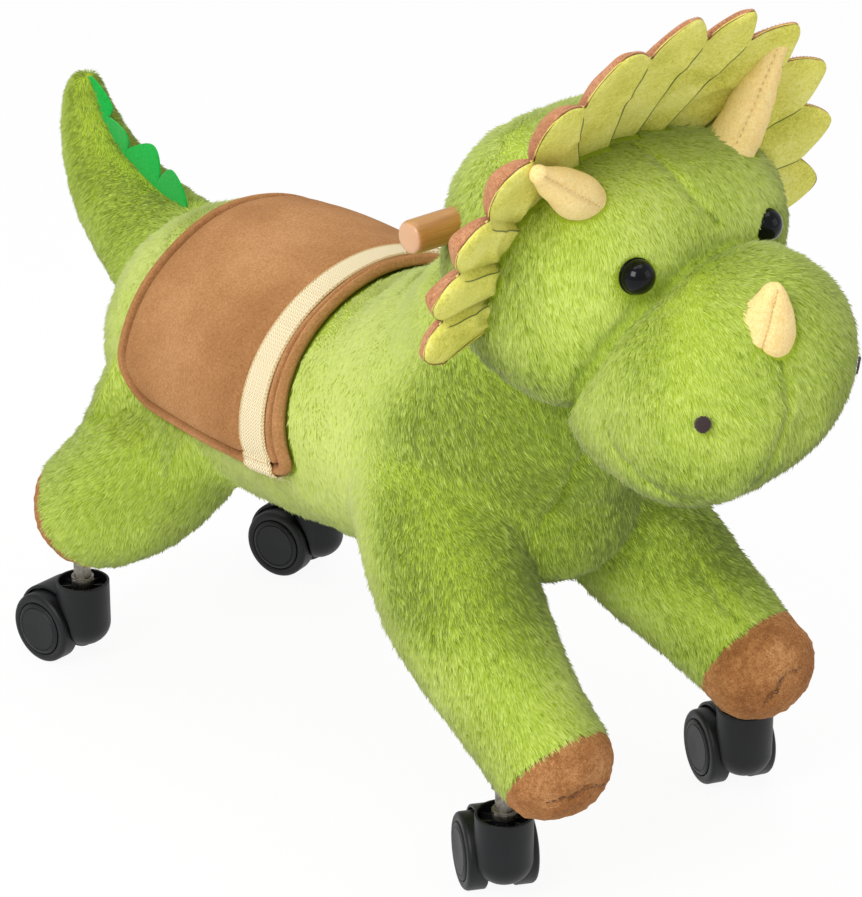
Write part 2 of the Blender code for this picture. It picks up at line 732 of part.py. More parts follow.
def frill_surface(turn, out):
    """A point of the frill's middle sheet: turn runs 0 to 1 from cheek to cheek, out from head to edge."""
    angle = math.radians(FRILL_SWEEP) * (turn - 0.5)
    phase = turn * FRILL_SCALLOPS
    within = abs(2 * (phase - math.floor(phase)) - 1)
    edge = FRILL_NOTCH_RADIUS + FRILL_SCALLOP_DEPTH * (1 - within ** SCALLOP_BLUNTNESS)
    radius = FRILL_INNER_RADIUS + (edge - FRILL_INNER_RADIUS) * out
    y0, z0 = FRILL_CENTRE
    height = radius * math.cos(angle)
    fold = FRILL_PLEAT * math.cos(math.tau * phase) * out
    lean = FRILL_LEAN * max(height, FRILL_LEANS_ABOVE) * math.sqrt(out)
    forward = lean + FRILL_FLARE * out ** 2 / 2 - fold
    return Vector((radius * math.sin(angle), y0 - forward, z0 + height))


def frill_panel(front, columns_per_scallop=4, rows=2):
    """One panel of the frill, from the middle sheet to its outer face, thinner towards its edge."""
    columns = FRILL_SCALLOPS * columns_per_scallop
    thickness = FRILL_FRONT_THICKNESS if front else FRILL_BACK_THICKNESS
    side = 1.0 if front else -1.0
    middle, outer = [], []
    small = 1e-3
    edge_room = 1 - FRILL_EDGE_SHARE
    for i in range(columns + 1):
        turn = i / columns
        for j in range(rows + 1):
            out = j / rows
            here = frill_surface(turn, out)
            across = frill_surface(min(turn + small, 1.0), out) - frill_surface(max(turn - small, 0.0), out)
            outwards = frill_surface(turn, min(out + small, 1.0)) - frill_surface(turn, max(out - small, 0.0))
            normal = across.cross(outwards).normalized()
            if normal.y > 0:
                normal = -normal
            seam = FRILL_EDGE_SHARE + edge_room * math.sqrt(1 - (out * 0.96) ** 4)
            ends = min(1.0, FRILL_END_SHARE + FRILL_END_SLOPE * min(turn, 1 - turn))
            middle.append(here + normal * side * GAP / 2)
            outer.append(here + normal * side * thickness * seam * ends)
    points = middle + outer
    stride = rows + 1
    shift = len(middle)
    faces = []
    for i in range(columns):
        for j in range(rows):
            a, b = i * stride + j, (i + 1) * stride + j
            faces.append((a, b, b + 1, a + 1))
            faces.append((shift + a, shift + a + 1, shift + b + 1, shift + b))
    border = [i * stride for i in range(columns + 1)]
    border += [columns * stride + j for j in range(1, stride)]
    border += [i * stride + rows for i in range(columns - 1, -1, -1)]
    border += [j for j in range(rows - 1, 0, -1)]
    for here, ahead in zip(border, border[1:] + border[:1]):
        faces.append((here, here + shift, ahead + shift, ahead))
    return faced_outwards(points, faces)


def horn_mesh(base, tip, radius):
    """A stuffed horn: a cone with a blunt tip whose base reaches into the head."""
    base, tip = Vector(base), Vector(tip)
    lean = tip - base
    rows = []
    for share, width in HORN_OUTLINE:
        size = max(radius * width, HORN_TIP_RADIUS)
        rows.append((*(base + lean * share), size, size))
    side = (0.0, 0.0, 1.0) if abs(lean.z) < 0.8 * lean.length else (1.0, 0.0, 0.0)
    return StuffedForm(rows, (radius * 0.4, HORN_TIP_RADIUS * 1.6), side).mesh(10, 2, 3)


def sphere_mesh(centre, radius, segments=12, rings=7):
    shape = bmesh.new()
    bmesh.ops.create_uvsphere(shape, u_segments=segments, v_segments=rings, radius=radius)
    bmesh.ops.translate(shape, vec=centre, verts=shape.verts)
    mesh = bpy.data.meshes.new("sphere")
    shape.to_mesh(mesh)
    shape.free()
    return mesh


def nostril_mesh(sign, muzzle):
    """A stitched nostril disc that lies on the front of the muzzle."""
    distance = muzzle.distance_at_y(NOSTRIL_Y)
    angle = math.pi / 2 - sign * math.radians(NOSTRIL_FROM_TOP)
    surface = Vector(muzzle.point(distance, angle))
    small = NOSTRIL_RADIUS / 2
    along = Vector(muzzle.point(distance + small, angle)) - Vector(muzzle.point(distance - small, angle))
    around = Vector(muzzle.point(distance, angle + 0.05)) - Vector(muzzle.point(distance, angle - 0.05))
    normal = along.cross(around).normalized()
    if normal.dot(surface - Vector(muzzle.frame(distance)[0])) < 0:
        normal = -normal
    height = NOSTRIL_RADIUS + NOSTRIL_THICKNESS
    disc = turned(((0.0, 0.0), (NOSTRIL_RADIUS, 0.0), (NOSTRIL_RADIUS, height), (0.0, height)), 12)
    turn = Vector((0.0, 0.0, 1.0)).rotation_difference(normal).to_matrix().to_4x4()
    return moved(disc, Matrix.Translation(surface - normal * NOSTRIL_RADIUS) @ turn)


def pad_crown(run, turn):
    """Thickness of the saddle pad: run goes -1 to 1 from rear to front, turn from one side to the other."""
    edge = min(max(abs(turn), abs(run)), 1.0)
    crown = math.sqrt(1 - edge ** SADDLE_BORDER_STEEPNESS)
    return SADDLE_THICKNESS * (SADDLE_BORDER_SHARE + (1 - SADDLE_BORDER_SHARE) * crown)


def pad_sweep(run):
    """How far down each flank the pad reaches, less towards its rounded corners."""
    return math.radians(SADDLE_SWEEP) * (1 - SADDLE_CORNER_CUT * abs(run) ** SADDLE_CORNER)


def crowded(place_now, crowding):
    """A place from -1 to 1 moved towards its nearer end, so that rows lie closer at the border."""
    return math.copysign(1 - (1 - abs(place_now)) ** crowding, place_now)


def saddle_mesh(torso):
    """A padded sheet over the back with a crown, thinner at its border."""
    first, last = torso.distance_at_y(SADDLE_REAR), torso.distance_at_y(SADDLE_FRONT)
    rows, columns = 10, 16
    points, rings = [], []
    for i in range(rows + 1):
        run = crowded(2.0 * i / rows - 1.0, 1.4)
        distance = first + (last - first) * (run + 1) / 2
        ring = []
        for face in (1, -1):
            for j in range(columns + 1):
                turn = crowded((2.0 * j / columns - 1.0) * face, 1.3)
                lift = SKIN_SAG + (pad_crown(run, turn) if face > 0 else 0.0)
                ring.append(len(points))
                points.append(torso.point(distance, math.pi / 2 - pad_sweep(run) * turn, lift))
        rings.append(ring)
    faces = faces_between(rings)
    width = 2 * (columns + 1)
    for ring, flip in ((rings[0], False), (rings[-1], True)):
        for j in range(columns):
            quad = (ring[j], ring[width - 1 - j], ring[width - 2 - j], ring[j + 1])
            faces.append(quad[::-1] if flip else quad)
    return faced_outwards(points, faces)


def strap_mesh(torso):
    """The webbing ring round the body: over the pad and down both flanks, then against the belly."""
    first, last = torso.distance_at_y(SADDLE_REAR), torso.distance_at_y(SADDLE_FRONT)
    front = last - STRAP_FROM_FRONT
    steps = 44
    points, rings = [], []
    for i in range(steps):
        angle = math.tau * i / steps
        down = min(angle, math.tau - angle)
        ring = []
        ends = []
        for distance in (front - STRAP_WIDTH, front):
            run = 2 * (distance - first) / (last - first) - 1
            sweep = pad_sweep(run)
            ease = min(max((down - sweep) / math.radians(STRAP_STEP_DOWN), 0.0), 1.0)
            pad = pad_crown(run, min(down / sweep, SADDLE_CROWN_UNDER_STRAP)) + SKIN_SAG
            ends.append((distance, SKIN_SAG + pad * (1 - ease)))
        (back, low), (ahead, high) = ends
        for distance, lift in ((back, low), (back, low + STRAP_THICKNESS), (ahead, high + STRAP_THICKNESS),
                               (ahead, high)):
            ring.append(len(points))
            points.append(torso.point(distance, math.pi / 2 + angle, lift))
        rings.append(ring)
    return faced_outwards(points, faces_between(rings + rings[:1]))


def crest_mesh(tail):
    """Four felt scallops in a strip along the tail's upper side."""
    per_scallop = 6
    steps = CREST_SCALLOPS * per_scallop
    start, end = (tail.length * share for share in CREST_SPAN)
    half = CREST_THICKNESS / 2
    points, rings = [], []
    for i in range(steps + 1):
        distance = start + (end - start) * i / steps
        phase = (i / per_scallop) % 1.0 if i < steps else 1.0
        swell = math.sin(math.pi * phase) ** CREST_BLUNTNESS
        height = CREST_HEIGHT * (CREST_NOTCH_SHARE + (1 - CREST_NOTCH_SHARE) * swell)
        size = 1.0 - CREST_TAPER * i / steps
        inner = tail.point(distance, -math.pi / 2, -CREST_ROOT_DEPTH)
        outer = tail.point(distance, -math.pi / 2, height * size)
        ring = []
        for place_now, x in ((inner, -half), (outer, -half), (outer, half), (inner, half)):
            ring.append(len(points))
            points.append((x, place_now[1], place_now[2]))
        rings.append(ring)
    faces = faces_between(rings) + [tuple(rings[0][::-1]), tuple(rings[-1])]
    return faced_outwards(points, faces)


def build_body():
    """The stuffed animal, what is sewn on it and the frame inside it."""
    torso_form = StuffedForm(TORSO_STATIONS, TORSO_CAPS)
    tail_form = StuffedForm(TAIL_STATIONS, TAIL_CAPS)
    torso = torso_form.mesh(24, 3, 11)
    head = StuffedForm(HEAD_STATIONS, HEAD_CAPS, power=2.6).mesh(22, 3, 5)
    muzzle_form = StuffedForm(MUZZLE_STATIONS, MUZZLE_CAPS, power=2.1)
    muzzle = muzzle_form.mesh(20, 3, 4)
    tail = tail_form.mesh(14, 2, 8)

    front_hoop, rear_hoop = hoop_mesh("front"), hoop_mesh("rear")
    hoop_rooms = [hoop_room(end) for end in ("front", "rear")]
    board_room = board_mesh(GAP)
    post_room = post_mesh(GAP)
    handle = handle_mesh()
    handle_room = handle_mesh(GAP)

    torso_room = grown(torso)
    head_room = grown(head)
    muzzle_room = grown(muzzle)
    tail_room = grown(tail)
    saddle = saddle_mesh(torso_form)
    saddle_room = grown(saddle)
    place("torso", cut(torso, *hoop_rooms, board_room, post_room, handle_room), "fur")
    place("head", cut(head, torso_room, handle_room, post_room), "fur")
    place("muzzle", cut(muzzle, head_room, torso_room), "fur")
    place("tail", cut(tail, torso_room), "fur")
    place("front_hoop", front_hoop, "steel")
    place("rear_hoop", rear_hoop, "steel")
    place("seat_board", board_mesh(), "plywood")
    place("neck_post", cut(post_mesh(), handle_room), "wood")
    place("handle_bar", handle, "wood")

    for end, stations, plane, room in (("front", FRONT_LEG_STATIONS, FRONT_PAW_PLANE, hoop_rooms[0]),
                                       ("rear", REAR_LEG_STATIONS, REAR_PAW_PLANE, hoop_rooms[1])):
        left_leg = StuffedForm(stations, LEG_CAPS).mesh(14, 3, 5)
        for hand, leg in (("left", left_leg), ("right", mirrored(left_leg))):
            shin = cut(leg, torso_room, half_space(plane), room, saddle_room, tail_room)
            paw = combined(leg, [half_space(shifted_plane(plane, GAP))], "INTERSECT")
            place(f"{end}_{hand}_leg", shin, "fur")
            place(f"{end}_{hand}_paw", cut(paw, room), "velour")

    right_horn = horn_mesh(RIGHT_HORN_BASE, RIGHT_HORN_TIP, BROW_HORN_RADIUS)
    left_horn = horn_mesh(LEFT_HORN_BASE, LEFT_HORN_TIP, BROW_HORN_RADIUS)
    nose_horn = horn_mesh(NOSE_HORN_BASE, NOSE_HORN_TIP, NOSE_HORN_RADIUS)
    place("brow_horn_right", cut(right_horn, head_room), "horn_plush")
    place("brow_horn_left", cut(left_horn, head_room), "horn_plush")
    place("nose_horn", cut(nose_horn, muzzle_room, head_room), "horn_plush")

    horn_rooms = [grown(horn) for horn in (right_horn, left_horn)]
    for front in (True, False):
        panel = cut(frill_panel(front), head_room, torso_room, handle_room, *horn_rooms)
        place("frill_front" if front else "frill_back", panel, "frill_velour" if front else "velour")

    for hand, sign in (("right", -1), ("left", 1)):
        place(f"nostril_{hand}", cut(nostril_mesh(sign, muzzle_form), muzzle_room), "thread")
        eye = sphere_mesh((sign * EYE_CENTRE[0], *EYE_CENTRE[1:]), EYE_RADIUS)
        place(f"eye_{hand}", cut(eye, head_room, muzzle_room), "eye")

    place("saddle_pad", saddle, "velour")
    place("girth_strap", strap_mesh(torso_form), "webbing")
    place("tail_crest", cut(crest_mesh(tail_form), tail_room, torso_room), "felt")


def main():
    for old in list(bpy.data.objects):
        bpy.data.objects.remove(old)
    build_body()
    build_casters()
    for piece in list(bpy.data.objects):
        if piece.parent is None:
            piece.location.y -= ORIGIN_FROM_WHEELBASE_MIDDLE
    bpy.context.view_layer.update()


main()
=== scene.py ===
"""Looks of a plush ride-on dinosaur on casters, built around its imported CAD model."""

import math

import bmesh
import bpy
import numpy as np
from mathutils import Matrix, Vector
from mathutils.bvhtree import BVHTree
from mathutils.kdtree import KDTree


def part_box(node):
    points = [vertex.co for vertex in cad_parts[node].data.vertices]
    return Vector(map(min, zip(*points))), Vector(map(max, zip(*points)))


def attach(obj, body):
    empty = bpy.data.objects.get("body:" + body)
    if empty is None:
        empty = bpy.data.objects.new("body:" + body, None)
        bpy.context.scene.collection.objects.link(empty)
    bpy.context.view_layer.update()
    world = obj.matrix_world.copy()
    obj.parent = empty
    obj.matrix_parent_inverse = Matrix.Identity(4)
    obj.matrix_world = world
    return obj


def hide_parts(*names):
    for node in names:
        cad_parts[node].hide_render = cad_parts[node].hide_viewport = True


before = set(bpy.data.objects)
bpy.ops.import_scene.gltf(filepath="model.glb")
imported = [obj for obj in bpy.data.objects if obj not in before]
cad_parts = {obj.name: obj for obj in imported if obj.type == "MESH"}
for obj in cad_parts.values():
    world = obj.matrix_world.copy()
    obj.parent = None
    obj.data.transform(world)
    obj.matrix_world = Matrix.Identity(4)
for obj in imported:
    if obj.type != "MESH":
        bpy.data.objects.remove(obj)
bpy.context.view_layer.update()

# The forms are written from the middle between the casters. The model's origin is a little ahead of it.
ORIGIN_SHIFT = Vector((0.0, 0.0042, 0.0))

# Stations of the stuffed forms: centre X, Y, Z and the two radii
TORSO = (
    (0.0, 0.236, 0.224, 0.076, 0.064),
    (0.0, 0.190, 0.235, 0.098, 0.083),
    (0.0, 0.125, 0.237, 0.106, 0.092),
    (0.0, 0.055, 0.236, 0.111, 0.0905),
    (0.0, -0.010, 0.239, 0.111, 0.090),
    (0.0, -0.070, 0.253, 0.107, 0.099),
    (0.0, -0.116, 0.290, 0.100, 0.096),
    (0.0, -0.142, 0.346, 0.088, 0.080),
    (0.0, -0.152, 0.388, 0.074, 0.068),
)
CHEST = (
    (0.0, -0.095, 0.232, 0.070, 0.066),
    (0.0, -0.140, 0.232, 0.072, 0.068),
    (0.0, -0.180, 0.250, 0.062, 0.058),
)
HEAD = (
    (0.0, -0.092, 0.412, 0.060, 0.050),
    (0.0, -0.132, 0.408, 0.085, 0.074),
    (0.0, -0.182, 0.402, 0.105, 0.081),
    (-0.002, -0.232, 0.392, 0.104, 0.080),
    (-0.002, -0.276, 0.382, 0.094, 0.068),
)
MUZZLE = (
    (0.0, -0.196, 0.353, 0.062, 0.060),
    (0.0, -0.240, 0.352, 0.076, 0.073),
    (0.0, -0.290, 0.349, 0.083, 0.076),
    (0.0, -0.327, 0.343, 0.080, 0.069),
    (0.0, -0.356, 0.337, 0.072, 0.058),
)
MUZZLE_TILT = 0.12
REAR_LEG = (
    (0.048, 0.128, 0.262, 0.058, 0.060),
    (0.073, 0.140, 0.206, 0.056, 0.062),
    (0.090, 0.160, 0.162, 0.052, 0.054),
    (0.100, 0.196, 0.128, 0.048, 0.047),
    (0.102, 0.236, 0.107, 0.040, 0.038),
)
LEGS = {
    "front_left": (
        (0.040, -0.072, 0.246, 0.056, 0.058),
        (0.062, -0.112, 0.204, 0.054, 0.054),
        (0.074, -0.160, 0.163, 0.048, 0.048),
        (0.086, -0.212, 0.126, 0.040, 0.039),
        (0.093, -0.270, 0.090, 0.0365, 0.0355),
    ),
    "front_right": (
        (-0.040, -0.072, 0.262, 0.056, 0.058),
        (-0.068, -0.114, 0.220, 0.055, 0.055),
        (-0.085, -0.158, 0.172, 0.050, 0.051),
        (-0.090, -0.206, 0.132, 0.042, 0.042),
        (-0.089, -0.270, 0.081, 0.036, 0.036),
    ),
    "rear_left": REAR_LEG,
    "rear_right": tuple((-row[0],) + row[1:] for row in REAR_LEG),
}
TAIL = (
    (0.0, 0.150, 0.258, 0.062, 0.056),
    (0.0, 0.215, 0.262, 0.053, 0.047),
    (0.0, 0.272, 0.281, 0.042, 0.038),
    (0.0, 0.318, 0.315, 0.030, 0.028),
    (0.0, 0.336, 0.350, 0.0195, 0.0185),
    (0.0, 0.338, 0.378, 0.013, 0.012),
)
# How long the rounded ends of the forms are, and how square the sections of some are (2 is an ellipse)
TORSO_CAPS = (0.050, 0.050)
TORSO_POWER = 1.9
CHEST_CAPS = (0.045, 0.045)
HEAD_CAPS = (0.055, 0.050)
HEAD_POWER = 2.6
MUZZLE_CAPS = (0.045, 0.060)
MUZZLE_POWER = 2.1
LEG_CAPS = (0.030, 0.030)
TAIL_CAPS = (0.030, 0.016)
PILE_HEIGHT = 0.0034
STRANDS_PER_MESH = 48000
FLOOR_WHITE = 0.93
HANDLE_HALF = 0.1270
HANDLE_RADIUS = 0.0105
HANDLE_MIDDLE = (0.0, -0.152, 0.428)
EYE_RADIUS = 0.0106
NOSTRIL_RADIUS = 0.0052
# Where fur and velour meet on the legs: a place on the seam's plane and the way to the paw
PAW_PLANES = {
    "front_left": ((0.0, -0.2358, 0.1112), (0.10, -0.84, -0.53)),
    "front_right": ((0.0, -0.2418, 0.1030), (0.02, -0.79, -0.61)),
    "rear_left": ((0.0, 0.2050, 0.1225), (0.0, 0.88, -0.47)),
    "rear_right": ((0.0, 0.2050, 0.1225), (0.0, 0.88, -0.47)),
}


def linear(red, green, blue):
    """A colour written in 0 to 255 as the shader wants it."""
    shares = [value / 255.0 for value in (red, green, blue)]
    return tuple(s / 12.92 if s <= 0.04045 else ((s + 0.055) / 1.055) ** 2.4 for s in shares) + (1.0,)


def add_object(name, data):
    """A new object of the scene."""
    piece = bpy.data.objects.new(name, data)
    bpy.context.scene.collection.objects.link(piece)
    return piece


def mesh_object(name, points, faces, smooth=True):
    """A piece made of points and faces."""
    mesh = bpy.data.meshes.new(name)
    mesh.from_pydata([tuple(p) for p in points], [], faces)
    mesh.update()
    if smooth:
        mesh.shade_smooth()
    return add_object(name, mesh)


def coordinates(mesh):
    """The mesh's vertices as an array."""
    points = np.empty(len(mesh.vertices) * 3)
    mesh.vertices.foreach_get("co", points)
    return points.reshape(-1, 3)


def set_coordinates(mesh, points):
    mesh.vertices.foreach_set("co", np.ascontiguousarray(points).ravel())
    mesh.update()


def vertex_normals(mesh):
    """The way the mesh faces at each of its vertices."""
    normals = np.empty(len(mesh.vertices) * 3)
    mesh.vertex_normals.foreach_get("vector", normals)
    return normals.reshape(-1, 3)


def push_out(piece, amounts):
    """Moves each vertex of a piece along its normal by its own amount."""
    mesh = piece.data
    set_coordinates(mesh, coordinates(mesh) + vertex_normals(mesh) * amounts[:, None])


def applied(piece):
    """The piece with its modifiers applied to its mesh."""
    bpy.context.view_layer.update()
    evaluated = piece.evaluated_get(bpy.context.evaluated_depsgraph_get())
    mesh = bpy.data.meshes.new_from_object(evaluated)
    piece.modifiers.clear()
    piece.data = mesh
    mesh.shade_smooth()
    return piece


def unit(vectors):
    """The vectors brought to a length of one."""
    lengths = np.linalg.norm(vectors, axis=-1, keepdims=True)
    return vectors / np.maximum(lengths, 1e-9)


def travelled(line):
    """How far along a line of points each of them is."""
    return np.concatenate([[0.0], np.cumsum(np.linalg.norm(np.diff(line, axis=0), axis=1))])


def smooth_through(knots, values, at):
    """Values of a smooth curve through the knots, at the given distances along it."""
    slopes = np.gradient(values, knots, axis=0)
    i = np.clip(np.searchsorted(knots, at, side="right") - 1, 0, len(knots) - 2)
    span = (knots[i + 1] - knots[i])[:, None]
    s = (at - knots[i])[:, None] / span
    ease_from = (1 + 2 * s) * (1 - s) ** 2
    ease_to = s ** 2 * (3 - 2 * s)
    bend_from = s * (1 - s) ** 2 * span
    bend_to = s ** 2 * (s - 1) * span
    return (ease_from * values[i] + bend_from * slopes[i] + ease_to * values[i + 1]
            + bend_to * slopes[i + 1])


class Form:
    """A swelling, tapering stuffed form: rings along a smooth spine, rounded off at both ends."""

    def __init__(self, stations, caps, side_hint=(1.0, 0.0, 0.0), power=2.0, shrink=0.0, tilt=0.0):
        rows = np.array(stations, float)
        self.centres = rows[:, :3] + np.array(ORIGIN_SHIFT)
        self.radii = rows[:, 3:5] - shrink
        self.knots = travelled(self.centres)
        self.length = self.knots[-1]
        self.caps = caps
        self.shrink = shrink
        self.side_hint = np.array(side_hint, float)
        self.power = power
        self.tilt = tilt

    def frames(self, distances):
        """Centres, sideways, upward and forward directions and radii at distances along the spine."""
        distances = np.asarray(distances, float)
        nudge = self.length * 1e-3
        low = np.clip(distances - nudge, 0.0, self.length)
        high = np.clip(distances + nudge, 0.0, self.length)
        forward = unit(smooth_through(self.knots, self.centres, high)
                       - smooth_through(self.knots, self.centres, low))
        side = unit(self.side_hint - forward * (forward @ self.side_hint)[:, None])
        up = np.cross(forward, side)
        inside = np.clip(distances, self.shrink, self.length - self.shrink)
        centres = smooth_through(self.knots, self.centres, inside)
        radii = smooth_through(self.knots, self.radii, inside)
        start, end = self.caps
        for from_end, cap in ((distances, start), (self.length - distances, end)):
            share = np.clip((cap - from_end) / cap, 0.0, 1.0)
            radii = radii * np.sqrt(1.0 - share ** 2)[:, None]
        return centres, side, up, forward, radii

    def points(self, distances, angles, lift=0.0):
        """Points of the surface at distances along the spine and angles from sideways."""
        distances, angles, lift = np.broadcast_arrays(np.asarray(distances, float), angles, lift)
        shape = distances.shape
        centres, side, up, _, radii = self.frames(distances.ravel())
        c, s = np.cos(angles.ravel()), np.sin(angles.ravel())
        across = np.copysign(np.abs(c) ** (2.0 / self.power), c) * radii[:, 0]
        along = np.copysign(np.abs(s) ** (2.0 / self.power), s) * radii[:, 1]
        small = np.maximum(radii, 1e-6)
        outward = unit(side * (c / small[:, 0])[:, None] + up * (s / small[:, 1])[:, None])
        points = centres + side * across[:, None] + up * along[:, None] + outward * lift.ravel()[:, None]
        points[:, 2] += self.tilt * points[:, 0]
        return points.reshape(shape + (3,))

    def distance_at_y(self, y):
        """The distance along the spine at which it passes a plane across the body."""
        table = np.linspace(0.0, self.length, 400)
        ys = smooth_through(self.knots, self.centres, table)[:, 1]
        order = np.argsort(ys)
        return float(np.interp(y, ys[order], table[order]))

    def grid(self, sides, cap_rings=12, middle_rings=40):
        """Points and faces of the whole closed form."""
        start, end = self.caps
        quarter = np.pi / 2 * np.arange(1, cap_rings + 1) / cap_rings
        first = start * (1 - np.cos(quarter))
        last = self.length - end * (1 - np.cos(quarter))
        middle = np.linspace(start, self.length - end, middle_rings + 2)[1:-1]
        rows = np.concatenate([first, middle, last[::-1]])
        turns = math.tau * np.arange(sides) / sides
        rings = self.points(rows[:, None], turns[None, :])
        ends = self.frames([0.0, self.length])[0]
        points = np.concatenate([ends[:1], rings.reshape(-1, 3), ends[1:]])
        loops = [[0]] + [list(range(1 + i * sides, 1 + (i + 1) * sides)) for i in range(len(rows))]
        loops.append([len(points) - 1])
        return points, faces_between(loops)


def faces_between(rings):
    """Faces from one ring of indices to the next. A ring of one index is a pole."""
    faces = []
    for low, high in zip(rings, rings[1:]):
        count = max(len(low), len(high))
        for i in range(count):
            k = (i + 1) % count
            if len(low) == 1:
                faces.append((low[0], high[k], high[i]))
            elif len(high) == 1:
                faces.append((low[i], low[k], high[0]))
            else:
                faces.append((low[i], low[k], high[k], high[i]))
    return faces


def strip_faces(rows, columns, wrap=False):
    """Faces of a grid of points, row by row."""
    faces = []
    for i in range(rows - 1):
        for j in range(columns if wrap else columns - 1):
            k = (j + 1) % columns
            faces.append((i * columns + j, i * columns + k, (i + 1) * columns + k, (i + 1) * columns + j))
    return faces


def slab_faces(rows, columns, offset=0):
    """Faces of a closed slab between two like grids of points, the second following the first."""
    count = rows * columns
    upper = strip_faces(rows, columns)
    faces = [tuple(i + offset for i in face) for face in upper]
    faces += [tuple(i + offset + count for i in face[::-1]) for face in upper]
    border = list(range(columns)) + [i * columns + columns - 1 for i in range(1, rows)]
    border += [(rows - 1) * columns + j for j in range(columns - 2, -1, -1)]
    border += [i * columns for i in range(rows - 2, 0, -1)]
    for here, ahead in zip(border, border[1:] + border[:1]):
        faces.append((offset + here, offset + ahead, offset + ahead + count, offset + here + count))
    return faces


def faced_outwards(piece):
    """The piece with all its faces turned outwards."""
    shape = bmesh.new()
    shape.from_mesh(piece.data)
    bmesh.ops.recalc_face_normals(shape, faces=shape.faces)
    shape.to_mesh(piece.data)
    shape.free()
    return piece


def merged_skin(name, forms, voxel, rounds):
    """One closed skin round several forms, with the creases between them softened."""
    points, faces = [], []
    for form in forms:
        some, more = form.grid(56)
        faces += [tuple(i + len(points) for i in face) for face in more]
        points += [tuple(p) for p in some]
    skin = faced_outwards(mesh_object(name, points, faces))
    remesh = skin.modifiers.new("remesh", "REMESH")
    remesh.mode = "VOXEL"
    remesh.voxel_size = voxel
    applied(skin)
    soften = skin.modifiers.new("soften", "SMOOTH")
    soften.factor = 0.5
    soften.iterations = rounds
    return applied(skin)


def line_distance(points, line):
    """Distance of each point from a broken line, and how far along it the nearest place is."""
    line = np.array(line, float)
    best = np.full(len(points), np.inf)
    along = np.zeros(len(points))
    run = 0.0
    for a, b in zip(line, line[1:]):
        step = b - a
        length = np.linalg.norm(step)
        share = np.clip((points - a) @ step / length ** 2, 0.0, 1.0)
        distance = np.linalg.norm(points - (a + share[:, None] * step), axis=1)
        nearer = distance < best
        best = np.where(nearer, distance, best)
        along = np.where(nearer, run + share * length, along)
        run += length
    return best, along / run


def furrow(piece, line, width, depth):
    """Presses a seam into a piece along a line, shallower towards the line's ends."""
    distance, along = line_distance(coordinates(piece.data), line)
    fade = np.clip(np.minimum(along, 1 - along) * 5, 0.25, 1.0)
    push_out(piece, -depth * np.exp(-(distance / width) ** 2) * fade)


def swell(piece, centre, reach, height):
    """Raises a soft bulge round a place."""
    distance = np.linalg.norm(coordinates(piece.data) - np.array(centre), axis=1)
    push_out(piece, height * np.exp(-(distance / reach) ** 2))


def tree_of(*pieces):
    """A search tree over the faces of several pieces."""
    points, faces = [], []
    for piece in pieces:
        shift = len(points)
        matrix = piece.matrix_world
        points += [matrix @ v.co for v in piece.data.vertices]
        faces += [tuple(i + shift for i in p.vertices) for p in piece.data.polygons]
    return BVHTree.FromPolygons(points, faces)


def inside(tree, point):
    """Whether a point lies behind the nearest face."""
    place, normal, _, _ = tree.find_nearest(point)
    return (point - place).dot(normal) < 0.0


class Finish:
    """A material and short calls for adding nodes to it."""

    def __init__(self, name, **sockets):
        self.material = bpy.data.materials.new(name)
        self.material.use_nodes = True
        self.tree = self.material.node_tree
        self.shader = self.tree.nodes["Principled BSDF"]
        for socket, value in sockets.items():
            title = socket.replace("_", " ").title().replace("Ior", "IOR")
            self.shader.inputs[title].default_value = value

    def node(self, kind, inputs=None, **settings):
        node = self.tree.nodes.new("ShaderNode" + kind)
        for name, value in settings.items():
            setattr(node, name, value)
        for key, value in (inputs or {}).items():
            self.feed(node.inputs[key], value)
        return node

    def feed(self, socket, value):
        if isinstance(value, bpy.types.NodeSocket):
            self.tree.links.new(value, socket)
        else:
            socket.default_value = value

    def object_place(self):
        return self.node("TexCoord").outputs["Object"]

    def noise(self, place, scale, detail=2.0, roughness=0.5, stretch=None):
        if stretch:
            place = self.node("Mapping", {"Vector": place, "Scale": stretch}).outputs["Vector"]
        settings = {"Vector": place, "Scale": scale, "Detail": detail, "Roughness": roughness}
        return self.node("TexNoise", settings).outputs["Fac"]

    def ramp(self, value, *stops):
        """A colour for a value, from stops of a place and a colour written in 0 to 255."""
        node = self.node("ValToRGB", {"Fac": value})
        elements = node.color_ramp.elements
        while len(elements) < len(stops):
            elements.new(0.5)
        for element, (place, colour) in zip(elements, stops):
            element.position = place
            element.color = linear(*colour)
        return node.outputs["Color"]

    def grey(self, value, low, high, start=0.0, end=1.0):
        """A value brought from one range into another."""
        node = self.node("MapRange", {"Value": value, "From Min": start, "From Max": end,
                                      "To Min": low, "To Max": high})
        return node.outputs["Result"]

    def mix(self, share, first, second, blend="MIX"):
        node = self.node("Mix", data_type="RGBA", blend_type=blend)
        self.feed(node.inputs["Factor"], share)
        self.feed(node.inputs[6], first)
        self.feed(node.inputs[7], second)
        return node.outputs[2]

    def maths(self, operation, first, second=0.0):
        return self.node("Math", {0: first, 1: second}, operation=operation).outputs["Value"]

    def colour(self, value):
        self.feed(self.shader.inputs["Base Color"], value)

    def bump(self, height, distance, strength=1.0, under=None):
        inputs = {"Height": height, "Distance": distance, "Strength": strength}
        if under is not None:
            inputs["Normal"] = under
        normal = self.node("Bump", inputs).outputs["Normal"]
        self.feed(self.shader.inputs["Normal"], normal)
        return normal


